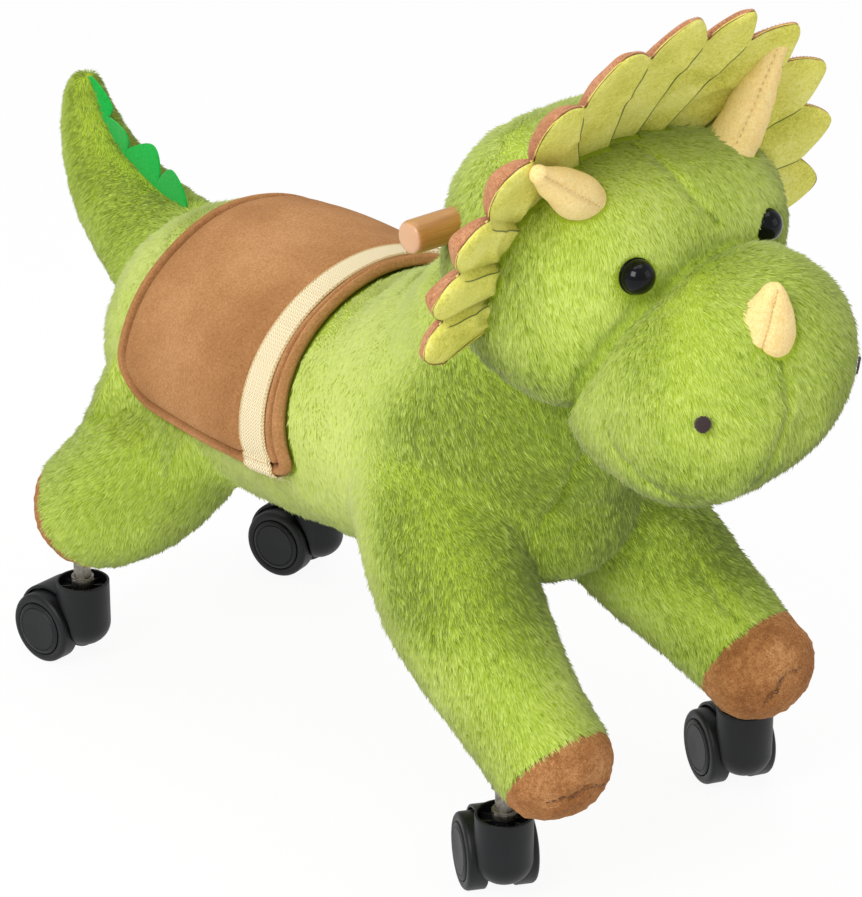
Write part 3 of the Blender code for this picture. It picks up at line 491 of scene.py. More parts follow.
def strand_finish():
    """Pile strands: across their map the tone of a strand with the painted shade of its place, and up it
    the way from root to tip.
    """
    finish = Finish("fur_pile", roughness=0.72, sheen_weight=0.22, sheen_roughness=0.45,
                    specular_ior_level=0.25)
    finish.shader.inputs["Sheen Tint"].default_value = linear(236, 244, 190)
    place = finish.node("UVMap", uv_map="OFBake").outputs["UV"]
    split = finish.node("SeparateXYZ", {"Vector": place})
    tone, up = split.outputs["X"], split.outputs["Y"]
    body = finish.ramp(tone, (0.0, (96, 118, 6)), (0.3, (150, 174, 40)), (0.55, (186, 206, 78)),
                       (0.8, (208, 224, 110)), (1.0, (226, 238, 146)))
    # Painted shade: each strand darkens towards its root, for the shadow between strands that they don't
    # cast
    deep = finish.mix(1.0, body, linear(188, 192, 140), "MULTIPLY")
    with_root_shade = finish.mix(finish.grey(up, 0.0, 1.0, 0.02, 0.5), deep, body)
    # Pale tips: partly the pile's own colour, partly painted sheen
    tip_pale_and_sheen = finish.maths("MULTIPLY", finish.grey(up, 0.0, 0.42, 0.5, 1.0),
                            finish.grey(tone, 0.30, 1.0, 0.1, 0.55))
    finish.colour(finish.mix(tip_pale_and_sheen, with_root_shade, linear(238, 244, 186)))
    return finish.material


def skin_finish():
    """The knitted ground under the pile, coloured darker than the strands: painted shade in the gaps
    between them.
    """
    finish = Finish("fur_ground", roughness=0.9, specular_ior_level=0.1)
    place = finish.object_place()
    grain = finish.noise(place, 900.0, 3.0, 0.6)
    finish.colour(finish.ramp(grain, (0.25, (138, 160, 34)), (0.75, (166, 188, 60))))
    finish.bump(grain, 0.0006)
    return finish.material


def velour_finish(name, dark, middle, light, grain_scale, nap_scale, nap_depth, sheen, patchiness):
    """Short-napped cloth: a fine grain on broad soft patches where the nap lies differently, painted
    lighter and darker as the nap's sheen shows them.
    """
    finish = Finish(name, roughness=0.85, sheen_weight=sheen, sheen_roughness=0.35,
                    specular_ior_level=0.2)
    finish.shader.inputs["Sheen Tint"].default_value = linear(*light)
    place = finish.object_place()
    # Painted sheen: broad patches lighter and darker where the nap lies differently; the grain and tufts
    # are the cloth's own
    patches = finish.noise(place, nap_scale, 3.0, 0.55)
    grain = finish.noise(place, grain_scale, 2.0, 0.7)
    tufts = finish.noise(place, grain_scale * 0.35, 2.0, 0.6)
    lie = finish.maths("ADD", finish.grey(patches, -patchiness, patchiness, 0.3, 0.7),
                       finish.grey(grain, 0.25, 0.75, 0.25, 0.75))
    lie = finish.maths("ADD", lie, finish.grey(tufts, -0.14, 0.14, 0.3, 0.7))
    finish.colour(finish.ramp(lie, (0.12, dark), (0.5, middle), (0.9, light)))
    finish.bump(finish.maths("ADD", grain, tufts), nap_depth)
    return finish.material


def felt_finish():
    """Pressed green felt with loose fibres."""
    finish = Finish("crest_felt", roughness=0.95, sheen_weight=0.25, sheen_roughness=0.5,
                    specular_ior_level=0.1)
    place = finish.object_place()
    fibre = finish.noise(place, 700.0, 5.0, 0.75)
    finish.colour(finish.ramp(fibre, (0.2, (0, 132, 44)), (0.55, (10, 170, 62)), (0.85, (48, 196, 88))))
    finish.bump(fibre, 0.0004)
    return finish.material


def webbing_finish():
    """Herringbone webbing. One tile of the map is the band's width across and as much along it."""
    finish = Finish("strap_webbing", roughness=0.8, sheen_weight=0.1, specular_ior_level=0.2)
    place = finish.node("UVMap", uv_map="OFBake").outputs["UV"]
    split = finish.node("SeparateXYZ", {"Vector": place})
    across, along = split.outputs["X"], split.outputs["Y"]
    ribs = 5.0
    picks = 11.0
    zigzag = finish.maths("PINGPONG", finish.maths("MULTIPLY", across, ribs), 0.5)
    slanted = finish.maths("ADD", finish.maths("MULTIPLY", along, picks),
                           finish.maths("MULTIPLY", zigzag, 3.2))
    wave = finish.maths("PINGPONG", slanted, 0.5)
    thread = finish.grey(wave, 0.0, 1.0, 0.05, 0.32)
    fold = finish.maths("PINGPONG", finish.maths("MULTIPLY", across, ribs * 2), 0.5)
    rib = finish.grey(fold, 0.35, 1.0, 0.0, 0.18)
    height = finish.maths("MULTIPLY", thread, rib)
    fuzz = finish.noise(place, 160.0, 2.0, 0.6)
    shade = finish.maths("ADD", height, finish.grey(fuzz, -0.12, 0.12, 0.3, 0.7))
    finish.colour(finish.ramp(shade, (0.0, (176, 140, 82)), (0.45, (240, 220, 168)),
                              (1.0, (255, 246, 216))))
    finish.bump(height, 0.0004)
    return finish.material


def wood_finish(name, dark, light, end=None):
    """Straight-grained wood along X. Past the given end the pale cut face shows."""
    finish = Finish(name, roughness=0.38, coat_weight=0.25, coat_roughness=0.2)
    place = finish.object_place()
    grain = finish.noise(place, 90.0, 4.0, 0.6, (0.06, 1.0, 1.0))
    pores = finish.noise(place, 900.0, 2.0, 0.6, (0.05, 1.0, 1.0))
    both = finish.maths("ADD", finish.grey(grain, 0.0, 0.75), finish.grey(pores, -0.15, 0.35))
    shade = finish.ramp(both, (0.1, dark), (0.7, light))
    if end:
        reach, pale = end
        out = finish.maths("ABSOLUTE", finish.node("SeparateXYZ", {"Vector": place}).outputs["X"])
        cut = finish.grey(out, 0.0, 0.75, reach - 0.0006, reach + 0.0006)
        shade = finish.mix(cut, shade, linear(*pale))
    finish.colour(shade)
    finish.bump(pores, 0.0001)
    return finish.material


def plastic_finish():
    """Black moulded plastic with a fine spark."""
    finish = Finish("caster_black", roughness=0.46, specular_ior_level=0.35)
    place = finish.object_place()
    spark = finish.noise(place, 2600.0, 2.0, 0.6)
    wear = finish.noise(place, 60.0, 4.0, 0.6)
    finish.colour(finish.ramp(wear, (0.3, (7, 8, 10)), (0.7, (13, 15, 18))))
    finish.feed(finish.shader.inputs["Roughness"], finish.grey(wear, 0.40, 0.54))
    finish.bump(spark, 0.00008)
    return finish.material


def steel_finish():
    """Dull stained steel."""
    finish = Finish("stem_steel", metallic=1.0, roughness=0.35)
    place = finish.object_place()
    stain = finish.noise(place, 260.0, 5.0, 0.7)
    finish.colour(finish.ramp(stain, (0.3, (96, 92, 84)), (0.7, (178, 172, 160))))
    finish.feed(finish.shader.inputs["Roughness"], finish.grey(stain, 0.28, 0.5))
    finish.bump(stain, 0.0001)
    return finish.material


def eye_finish():
    """Glossy black plastic of a safety eye."""
    finish = Finish("eye_black", roughness=0.09, specular_ior_level=0.22)
    place = finish.object_place()
    depth = finish.noise(place, 120.0, 2.0)
    finish.colour(finish.ramp(depth, (0.3, (3, 3, 5)), (0.7, (7, 9, 15))))
    return finish.material


def thread_finish(name, dark, light):
    """Twisted sewing thread."""
    finish = Finish(name, roughness=0.5, sheen_weight=0.3)
    place = finish.object_place()
    twist = finish.noise(place, 2400.0, 2.0, 0.6)
    finish.colour(finish.ramp(twist, (0.25, dark), (0.75, light)))
    finish.bump(twist, 0.0001)
    return finish.material


def floor_finish():
    """A pale floor that the camera sees near white and that keeps the shadow."""
    finish = Finish("floor_pale", roughness=0.9, specular_ior_level=0.1)
    finish.colour(linear(238, 238, 238))
    rays = finish.node("LightPath").outputs
    seen = finish.maths("MAXIMUM", rays["Is Camera Ray"], rays["Is Glossy Ray"])
    seen = finish.maths("MAXIMUM", seen, rays["Is Transmission Ray"])
    white = finish.node("Emission", {"Color": (1.0, 1.0, 1.0, 1.0), "Strength": 1.0})
    mixed = finish.node("MixShader")
    finish.feed(mixed.inputs[0], finish.maths("MULTIPLY", seen, FLOOR_WHITE))
    finish.feed(mixed.inputs[1], finish.shader.outputs["BSDF"])
    finish.feed(mixed.inputs[2], white.outputs["Emission"])
    finish.feed(finish.tree.nodes["Material Output"].inputs["Surface"], mixed.outputs["Shader"])
    return finish.material


FUR_STRANDS = strand_finish()
FUR_GROUND = skin_finish()
# Velours: dark, middle and light colour, scales of grain and nap, depth of the nap, sheen, and the
# patchiness of the painted nap sheen
SADDLE_SUEDE = velour_finish("saddle_suede", (138, 92, 52), (170, 120, 74), (198, 150, 104),
                             1700.0, 16.0, 0.0005, 0.22, 0.18)
PAW_VELOUR = velour_finish("paw_velour", (124, 76, 38), (162, 108, 62), (200, 148, 98),
                           900.0, 40.0, 0.0009, 0.32, 0.20)
FRILL_BACK = velour_finish("frill_back_velour", (150, 96, 60), (188, 130, 92), (218, 166, 126),
                           1000.0, 40.0, 0.0008, 0.35, 0.16)
FRILL_FRONT = velour_finish("frill_front_velour", (186, 184, 62), (228, 222, 106), (246, 242, 160),
                            1300.0, 34.0, 0.0005, 0.5, 0.18)
HORN_PLUSH = velour_finish("horn_plush", (236, 194, 112), (250, 220, 152), (255, 236, 184),
                           1200.0, 30.0, 0.0006, 0.20, 0.07)
CREST_FELT = felt_finish()
STRAP_WEBBING = webbing_finish()
HANDLE_WOOD = wood_finish("handle_wood", (142, 94, 38), (188, 138, 72),
                          (HANDLE_HALF - 0.0012, (214, 168, 132)))
BOARD_PLY = wood_finish("board_ply", (172, 136, 88), (208, 176, 126))
CASTER_BLACK = plastic_finish()
STEM_STEEL = steel_finish()
EYE_BLACK = eye_finish()
DARK_THREAD = thread_finish("nostril_thread", (26, 6, 3), (52, 18, 10))
CREAM_THREAD = thread_finish("cream_thread", (196, 160, 96), (230, 200, 140))
# Painted shadow: dark olive lines laid in the frill's tucks
FOLD_SHADOW_LINES = thread_finish("fold_painted_shadow", (96, 102, 18), (136, 142, 44))
# Brown thread: real stitches on the paws and in the pad's groove, where it also paints the groove's
# shade, and painted shadow lines on the frill's rim
BROWN_THREAD_AND_SHADOW = thread_finish("brown_thread_and_painted_shadow", (54, 28, 12), (92, 52, 26))

# The photo's camera, solved from the casters' stems and the floor line
VIEW_AZIMUTH = math.radians(-41.24)
VIEW_ELEVATION = math.radians(24.3)
VIEW_DISTANCE = 2.6226
VIEW_AIM = (0.0185, 0.2033)
SENSOR = 36.0
LENS = SENSOR * 4000.0 / 897.0
FLOOR_HALF = 6.0
# Area lamps: name, place, size and power
LAMPS = (("key", (-2.1, -0.7, 1.9), 1.3, 45.0), ("fill", (1.4, -2.6, 1.5), 1.8, 10.0),
         ("top", (0.1, 0.2, 2.6), 2.0, 24.0))
LAMP_AIM_HEIGHT = 0.25
SKY_STRENGTH = 0.62


def set_stage():
    """Camera at the photographed angle, a pale floor and soft studio light."""
    azimuth, elevation = VIEW_AZIMUTH, VIEW_ELEVATION
    right = Vector((math.cos(azimuth), math.sin(azimuth), 0.0))
    back = Vector((math.sin(azimuth) * math.cos(elevation), -math.cos(azimuth) * math.cos(elevation),
                   math.sin(elevation)))
    aim = ORIGIN_SHIFT + right * VIEW_AIM[0] + Vector((0.0, 0.0, VIEW_AIM[1]))
    lens = bpy.data.cameras.new("camera")
    lens.sensor_width = SENSOR
    lens.lens = LENS
    lens.clip_start = 0.05
    camera = add_object("camera", lens)
    camera.location = aim + back * VIEW_DISTANCE
    camera.rotation_euler = back.to_track_quat("Z", "Y").to_euler()
    bpy.context.scene.camera = camera

    corners = [(x * FLOOR_HALF, y * FLOOR_HALF, 0) for x, y in ((-1, -1), (1, -1), (1, 1), (-1, 1))]
    floor = mesh_object("floor", corners, [(0, 1, 2, 3)], False)
    floor.data.materials.append(floor_finish())

    for name, place, width, power in LAMPS:
        lamp = bpy.data.lights.new(name, "AREA")
        lamp.size = width
        lamp.energy = power
        holder = add_object(name, lamp)
        holder.location = place
        towards = Vector(place) - Vector((0.0, 0.0, LAMP_AIM_HEIGHT))
        holder.rotation_euler = towards.to_track_quat("Z", "Y").to_euler()

    world = bpy.data.worlds.new("studio")
    bpy.context.scene.world = world
    world.use_nodes = True
    nodes, links = world.node_tree.nodes, world.node_tree.links
    light = nodes["Background"]
    light.inputs["Color"].default_value = (1.0, 1.0, 1.0, 1.0)
    light.inputs["Strength"].default_value = SKY_STRENGTH
    seen = nodes.new("ShaderNodeBackground")
    seen.inputs["Color"].default_value = (1.0, 1.0, 1.0, 1.0)
    rays = nodes.new("ShaderNodeLightPath")
    mixed = nodes.new("ShaderNodeMixShader")
    links.new(rays.outputs["Is Camera Ray"], mixed.inputs[0])
    links.new(light.outputs["Background"], mixed.inputs[1])
    links.new(seen.outputs["Background"], mixed.inputs[2])
    links.new(mixed.outputs["Shader"], nodes["World Output"].inputs["Surface"])
    bpy.context.scene.view_settings.view_transform = "Standard"


def dress(piece, finish, body="root", replaces=()):
    """Gives a finished piece its material and slot, and the body that carries it."""
    piece.data.materials.clear()
    piece.data.materials.append(finish)
    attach(piece, body)
    if replaces:
        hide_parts(*replaces)
    return piece


def body_skin():
    """Torso and legs as one skin, a pile's height under the plush surface, cut off where the velour paws
    begin.
    """
    forms = [Form(TORSO, TORSO_CAPS, power=TORSO_POWER, shrink=PILE_HEIGHT),
             Form(CHEST, CHEST_CAPS, shrink=PILE_HEIGHT)]
    forms += [Form(stations, LEG_CAPS, shrink=PILE_HEIGHT) for stations in LEGS.values()]
    skin = merged_skin("body_skin", forms, voxel=0.0036, rounds=14)
    shape = bmesh.new()
    shape.from_mesh(skin.data)
    for corner, (place, normal) in PAW_PLANES.items():
        hand = math.copysign(1.0, LEGS[corner][0][0])
        faces = [face for face in shape.faces if all(vert.co.x * hand > 0 for vert in face.verts)]
        # Dicts keep their order, so that the cut gives the same mesh each run
        edges = dict.fromkeys(edge for face in faces for edge in face.edges)
        verts = dict.fromkeys(vert for face in faces for vert in face.verts)
        bmesh.ops.bisect_plane(shape, geom=list(verts) + list(edges) + faces,
                               plane_co=Vector(place) + ORIGIN_SHIFT, plane_no=normal, clear_outer=True)
    bmesh.ops.holes_fill(shape, edges=[edge for edge in shape.edges if edge.is_boundary])
    shape.to_mesh(skin.data)
    shape.free()
    skin.data.shade_smooth()
    return skin


def head_forms():
    """Head and muzzle, a pile's height under the plush surface."""
    return (Form(HEAD, HEAD_CAPS, power=HEAD_POWER, shrink=PILE_HEIGHT),
            Form(MUZZLE, MUZZLE_CAPS, power=MUZZLE_POWER, shrink=PILE_HEIGHT, tilt=MUZZLE_TILT))


def head_skin():
    """Head and muzzle as one skin."""
    return merged_skin("head_skin", head_forms(), voxel=0.0034, rounds=5)


def muzzle_crease():
    """The line in which the muzzle comes out of the head."""
    head, muzzle = head_forms()
    bare_head = faced_outwards(mesh_object("bare_head", *head.grid(64)))
    tree = tree_of(bare_head)
    bpy.data.objects.remove(bare_head)
    line = []
    for angle in np.radians(np.linspace(-50.0, 230.0, 57)):
        for distance in np.linspace(muzzle.length - 0.02, 0.0, 90):
            place = muzzle.points([distance], angle)[0]
            if inside(tree, Vector(place)):
                line.append(place)
                break
    return np.array(line)


def settled(line, skin):
    """A seam's line in finer steps, brought onto the skin."""
    line = np.array(line, float)
    knots = travelled(line)
    steps = np.linspace(0, knots[-1], max(int(knots[-1] / 0.004), 4))
    tree = tree_of(skin)
    return np.array([tree.find_nearest(Vector(place))[0] for place in smooth_through(knots, line, steps)])


def tail_skin():
    """The tail's skin, under its slightly shorter pile."""
    form = Form(TAIL, TAIL_CAPS, shrink=PILE_HEIGHT * 0.9)
    return merged_skin("tail_skin", [form], voxel=0.0032, rounds=3)


def ripples(points, wavelength, seed, waves=9):
    """A smooth random value over space, mostly between -1 and 1."""
    chance = np.random.default_rng(seed)
    total = np.zeros(len(points))
    for direction in unit(chance.normal(size=(waves, 3))):
        stretch = chance.uniform(0.7, 1.4)
        phase = points @ direction * math.tau / (wavelength * stretch)
        total += np.sin(phase + chance.uniform(0, math.tau))
    return total / math.sqrt(waves) / 1.1


def scattered(mesh, per_square_cm, seed):
    """Places spread evenly over a mesh, with the smooth normal at each."""
    mesh.calc_loop_triangles()
    corners = np.empty(len(mesh.loop_triangles) * 3, np.int32)
    mesh.loop_triangles.foreach_get("vertices", corners)
    corners = corners.reshape(-1, 3)
    points, normals = coordinates(mesh), vertex_normals(mesh)
    a, b, c = (points[corners[:, i]] for i in range(3))
    areas = np.linalg.norm(np.cross(b - a, c - a), axis=1) / 2
    count = int(areas.sum() * 1e4 * per_square_cm)
    chance = np.random.default_rng(seed)
    marks = (np.arange(count) + chance.random(count)) / count * areas.sum()
    chosen = np.searchsorted(np.cumsum(areas), marks).clip(0, len(areas) - 1)
    root, share = np.sqrt(chance.random(count)), chance.random(count)
    weights = np.stack([1 - root, root * (1 - share), root * share], axis=1)[:, :, None]
    places = (points[corners[chosen]] * weights).sum(axis=1)
    leans = unit((normals[corners[chosen]] * weights).sum(axis=1))
    return places, leans


def pile(name, skin, comb, shade, seed, covers, others=(), seams=(), bare=(), per_square_cm=104.0,
         length=0.0072, width=0.00050):
    """Grows strands from a skin along its comb, shorter in seams with painted shade there, none under the
    covers.
    """
    roots, normals = scattered(skin.data, per_square_cm, seed)
    chance = np.random.default_rng(seed + 1)
    count = len(roots)
    flow = comb(roots)
    flow = unit(flow - normals * (flow * normals).sum(axis=1)[:, None])
    aside = np.cross(normals, flow)
    swing = 0.22 * ripples(roots, 0.060, seed + 2) + 0.13 * ripples(roots, 0.012, seed + 3)
    swing += chance.normal(0.0, 0.10, count)
    along = flow * np.cos(swing)[:, None] + aside * np.sin(swing)[:, None]
    lengths = length * (1.0 + 0.10 * ripples(roots, 0.014, seed + 4) + chance.uniform(-0.22, 0.18, count))
    rise = 31.0 + 4.0 * ripples(roots, 0.035, seed + 5) + 3.0 * ripples(roots, 0.009, seed + 8)
    rise += chance.normal(0.0, 6.0, count)
    # The shade function gives each place its painted shade and painted light, on which the tone varies at
    # random
    level, spread = shade(roots, normals)
    tone = level + 0.05 * ripples(roots, 0.075, seed + 6)
    tone += spread * (0.6 * ripples(roots, 0.006, seed + 7) + chance.normal(0.0, 1.0, count))
    for line, reach in seams:
        near = np.exp(-(line_distance(roots, line)[0] / reach) ** 2)
        lengths *= 1.0 - 0.45 * near
        rise -= 14.0 * near
        # Painted shade in the seam's crease
        tone -= 0.55 * near
    for centre, reach in bare:
        away = np.linalg.norm(roots - centre, axis=1) / reach
        lengths *= 0.25 + 0.75 * step(away, 1.0, 1.7)
        rise -= 14.0 * (1 - step(away, 1.0, 1.7))
    rise = np.radians(np.clip(rise, 8.0, 78.0))
    lean = unit(normals * np.sin(rise)[:, None] + along * np.cos(rise)[:, None])

    cover_tree = tree_of(*covers)
    other_trees = [tree_of(other) for other in others]
    keep = np.ones(count, bool)
    for i in range(count):
        root = Vector(roots[i])
        if any(inside(tree, root) for tree in other_trees):
            keep[i] = False
            continue
        if cover_tree.ray_cast(root, Vector(normals[i]), 0.007)[0] is not None:
            keep[i] = False
            continue
        for upright in (0.0, 0.9, 2.5):
            way = (Vector(lean[i]) + Vector(normals[i]) * upright).normalized()
            distance = cover_tree.ray_cast(root, way, lengths[i] * 1.1)[3]
            if distance is None or distance > 0.0045:
                break
        lean[i] = way
        if distance is not None:
            lengths[i] = min(lengths[i], distance * 0.92)
    roots, normals, along, lean = roots[keep], normals[keep], along[keep], lean[keep]
    lengths, tone = lengths[keep], np.clip(tone[keep], 0.02, 0.98)
    count = len(roots)

    # A strand is a slender closed wedge: root, two edges and tip, arched outwards at its widest place
    across = unit(np.cross(lean, normals))
    half = across * (width / 2 * chance.uniform(0.75, 1.25, count))[:, None]
    upward = unit(np.cross(across, lean))
    upward *= np.sign((upward * normals).sum(axis=1))[:, None]
    start = roots - normals * 0.0005
    middle = start + lean * (lengths * 0.42)[:, None] + upward * (lengths * 0.11)[:, None]
    tip = start + lean * lengths[:, None]
    points = np.stack([start, middle - half, middle + half, tip], axis=1)
    shading = unit(normals * 0.80 + upward * 0.22 + chance.normal(0.0, 0.09, (count, 3)))
    rounded_off = unit(half)[:, None, :] * np.array([0.0, -0.28, 0.28, 0.0])[None, :, None]
    shading = unit(shading[:, None, :] + rounded_off)

    strands = []
    for number, begin in enumerate(range(0, count, STRANDS_PER_MESH)):
        some = slice(begin, begin + STRANDS_PER_MESH)
        strands.append(strand_piece(f"{name}_{number + 1}", points[some], shading[some], tone[some]))
    return strands


def strand_piece(name, points, shading, tone):
    """One mesh of strands. Each has four faces, and its map runs from root to tip at its tone."""
    count = len(points)
    mesh = bpy.data.meshes.new(name)
    mesh.vertices.add(count * 4)
    mesh.vertices.foreach_set("co", points.ravel())
    mesh.loops.add(count * 12)
    order = np.array([0, 2, 1, 3, 1, 2, 0, 3, 2, 0, 1, 3])
    loops = (np.arange(count)[:, None] * 4 + order[None, :]).ravel()
    mesh.loops.foreach_set("vertex_index", loops.astype(np.int32))
    mesh.polygons.add(count * 4)
    mesh.polygons.foreach_set("loop_start", np.arange(0, count * 12, 3, dtype=np.int32))
    mesh.update(calc_edges=True)
    side = np.array([0.0, -0.004, 0.004, 0.0])[order]
    up = np.array([0.02, 0.45, 0.45, 0.98])[order]
    across = tone[:, None] + side[None, :]
    places = np.stack([across, np.broadcast_to(up, across.shape)], axis=2)
    layer = mesh.uv_layers.new(name="OFBake")
    layer.data.foreach_set("uv", np.clip(places, 0.0, 1.0).ravel())
    mesh.polygons.foreach_set("use_smooth", np.ones(count * 4, bool))
    mesh.normals_split_custom_set_from_vertices(shading.reshape(-1, 3))
    piece = add_object(name, mesh)
    # The skins cast the shadows, so that light reaches the roots as it does in real fine pile; shade
    # between strands is painted
    piece.visible_shadow = False
    piece.visible_diffuse = False
    return piece


def body_comb(points):
    """The pile lies forwards and down over the body, and down the legs towards the stems."""
    flow = np.tile(np.array([0.0, -0.62, -0.78]), (len(points), 1))
    for stations in LEGS.values():
        line = np.array([row[:3] for row in stations]) + np.array(ORIGIN_SHIFT)
        distance, _ = line_distance(points, line[1:])
        low = np.clip((0.235 - points[:, 2]) / 0.07, 0.0, 1.0)
        near = np.clip((0.085 - distance) / 0.03, 0.0, 1.0) * low
        down = unit(line[-1] - line[1]) + np.array([0.0, 0.0, -0.5])
        inward = unit(line[-1] - points) * 0.35
        flow = flow * (1 - near)[:, None] + (down + inward) * near[:, None]
    return flow


def step(values, low, high):
    """0 below the first value, 1 above the second and smooth between them."""
    share = np.clip((values - low) / (high - low), 0.0, 1.0)
    return share * share * (3 - 2 * share)


def body_painted_shade(points, normals):
    """Painted shade and light in the body's pile, and how much its tone differs between strands: most on
    the chest.
    """
    x, y, z = points.T
    facing = -normals[:, 1] - 0.35 * normals[:, 0]
    # Painted shade on the chest under the head, on the far front leg, low on the near front leg and on
    # the hind legs
    chest = step(-y, 0.055, 0.120) * step(z, 0.145, 0.195) * step(0.375 - z, 0.0, 0.05)
    chest *= step(facing, -0.15, 0.55)
    far_leg = step(x, 0.02, 0.05) * step(-y, 0.09, 0.15)
    near_leg = step(-x, 0.03, 0.07) * step(0.20 - z, 0.0, 0.05) * step(-y, 0.09, 0.15)
    hind = step(y, 0.055, 0.120) * step(0.275 - z, 0.0, 0.08)
    # Painted light on the flank that faces the lamps
    sideways = np.abs(normals[:, 0]) + 0.5 * normals[:, 2]
    flank = step(sideways, 0.3, 0.8) * step(y, -0.14, -0.06) * (1 - hind)
    level = 0.53 + 0.13 * flank - 0.42 * chest - 0.24 * far_leg - 0.10 * near_leg - 0.26 * hind
    spread = 0.055 + 0.09 * chest + 0.05 * far_leg + 0.04 * near_leg + 0.03 * hind - 0.02 * flank
    return np.maximum(level, 0.10), spread


def head_painted_shade(points, normals):
    """Painted shade under the chin and over the front of the muzzle, and darker behind the eyes."""
    x, y, z = points.T
    behind = step(np.abs(x), 0.055, 0.085) * step(y, -0.27, -0.22)
    # Painted shade on the pile that faces down and on the muzzle's front
    under = step(-normals[:, 2], 0.1, 0.7)
    muzzle = step(-y, 0.255, 0.285)
    level = 0.47 - 0.12 * behind - 0.16 * under - 0.12 * muzzle
    return level, 0.07 + 0.04 * behind + 0.03 * under + 0.02 * muzzle


def tail_painted_shade(points, normals):
    """Painted shade on the side of the tail that faces forwards, for pile seen head-on, where the strands
    also differ more.
    """
    # Painted shade on the forward-facing side
    deep = step(-normals[:, 1], -0.3, 0.3)
    return 0.34 - 0.26 * deep, 0.06 + 0.06 * deep


def head_comb(points):
    """Down and a little forwards, spreading to both sides from the middle of the face."""
    flow = np.tile(np.array([0.0, -0.50, -0.80]), (len(points), 1))
    flow[:, 0] = points[:, 0] * 1.6
    return flow


def tail_comb(points):
    """Down and a little backwards."""
    return np.tile(np.array([0.0, 0.25, -1.0]), (len(points), 1))


# Saddle pad and strap: the pad's ends and sweep as in the CAD, and how far its front edge lies further
# back over the spine. Then the strap's place, the groove inside the border and the girth's depth in the
# plush below the pad.
SADDLE_FRONT = -0.022 + ORIGIN_SHIFT.y
SADDLE_REAR = 0.165 + ORIGIN_SHIFT.y
SADDLE_SWEEP = math.radians(101.5)
SADDLE_AROUND = 0.104
SADDLE_LEAN = 0.018
SADDLE_REAR_CORNERS = 0.040
SADDLE_FRONT_CORNERS = 0.014
BORDER_RISE = 0.0066
BORDER_MIDDLE = 0.0041
BORDER_HALF = 0.0043
FIELD_RISE = 0.0042
FIELD_CROWN = 0.0030
STRAP_FROM_FRONT = 0.0145
STRAP_WIDTH = 0.0265
STRAP_THICKNESS = 0.0014
PAD_GROOVE = 0.0084
GIRTH_DEPTH = -0.0048


class Saddle:
    """The pad's own map: how far forward and how far round it a place is, in metres from its middle."""

    def __init__(self):
        self.form = Form(TORSO, TORSO_CAPS, power=TORSO_POWER)
        self.first = self.form.distance_at_y(SADDLE_REAR)
        self.last = self.form.distance_at_y(SADDLE_FRONT)
        self.half_run = (self.last - self.first) / 2
        self.middle = (self.first + self.last) / 2
        self.around = SADDLE_AROUND
        self.half_turn = SADDLE_SWEEP * self.around
        self.strap_middle = self.half_run - STRAP_FROM_FRONT - STRAP_WIDTH / 2

    def place(self, run, turn, lift):
        """A point at run and turn from the pad's middle, at a height over the torso."""
        run = np.asarray(run)
        over = 1 - np.clip(np.asarray(turn) / self.half_turn, -1.0, 1.0) ** 2
        share = np.clip(0.5 + run / (2 * self.half_run), 0.0, 1.15)
        run = run - SADDLE_LEAN * over * share
        return self.form.points(self.middle + run, np.pi / 2 - np.asarray(turn) / self.around, lift)

    def edge_distance(self, run, turn):
        """How far inside the pad's rounded outline a place is."""
        radius = np.where(run < 0, SADDLE_REAR_CORNERS, SADDLE_FRONT_CORNERS)
        a = np.abs(run) - (self.half_run - radius)
        b = np.abs(turn) - (self.half_turn - radius)
        outside = np.hypot(np.maximum(a, 0), np.maximum(b, 0)) + np.minimum(np.maximum(a, b), 0)
        return radius - outside

    def reach(self, run_way, turn_way, inset, furthest, rounds):
        """How far along its way each place leaves the pad's outline, an inset inside it."""
        low, high = np.zeros_like(run_way), np.full_like(run_way, furthest)
        for _ in range(rounds):
            half = (low + high) / 2
            within = self.edge_distance(run_way * half, turn_way * half) > inset
            low, high = np.where(within, half, low), np.where(within, high, half)
        return low

    def lift(self, run, turn):
        """Height of the pad's upper face over the torso."""
        edge = np.maximum(self.edge_distance(run, turn), 0.0)
        border = BORDER_RISE * np.sqrt(np.clip(1 - ((edge - BORDER_MIDDLE) / BORDER_HALF) ** 2, 0.0, 1.0))
        crown = 1 - np.exp(-np.maximum(edge - PAD_GROOVE, 0.0) / 0.0050)
        field = FIELD_RISE + FIELD_CROWN * crown
        height = np.where(edge < PAD_GROOVE, np.maximum(border, 0.0008), field)
        height = height - 0.0036 * np.exp(-((edge - PAD_GROOVE) / 0.0014) ** 2)
        from_strap = np.abs(run - self.strap_middle) - STRAP_WIDTH / 2
        softness = np.where(run > self.strap_middle, 0.0015, 0.010)
        press = np.clip(1 - np.maximum(from_strap, 0.0) / softness, 0.0, 1.0) ** 2
        return height - 0.0020 * press * (edge > 0.0096)


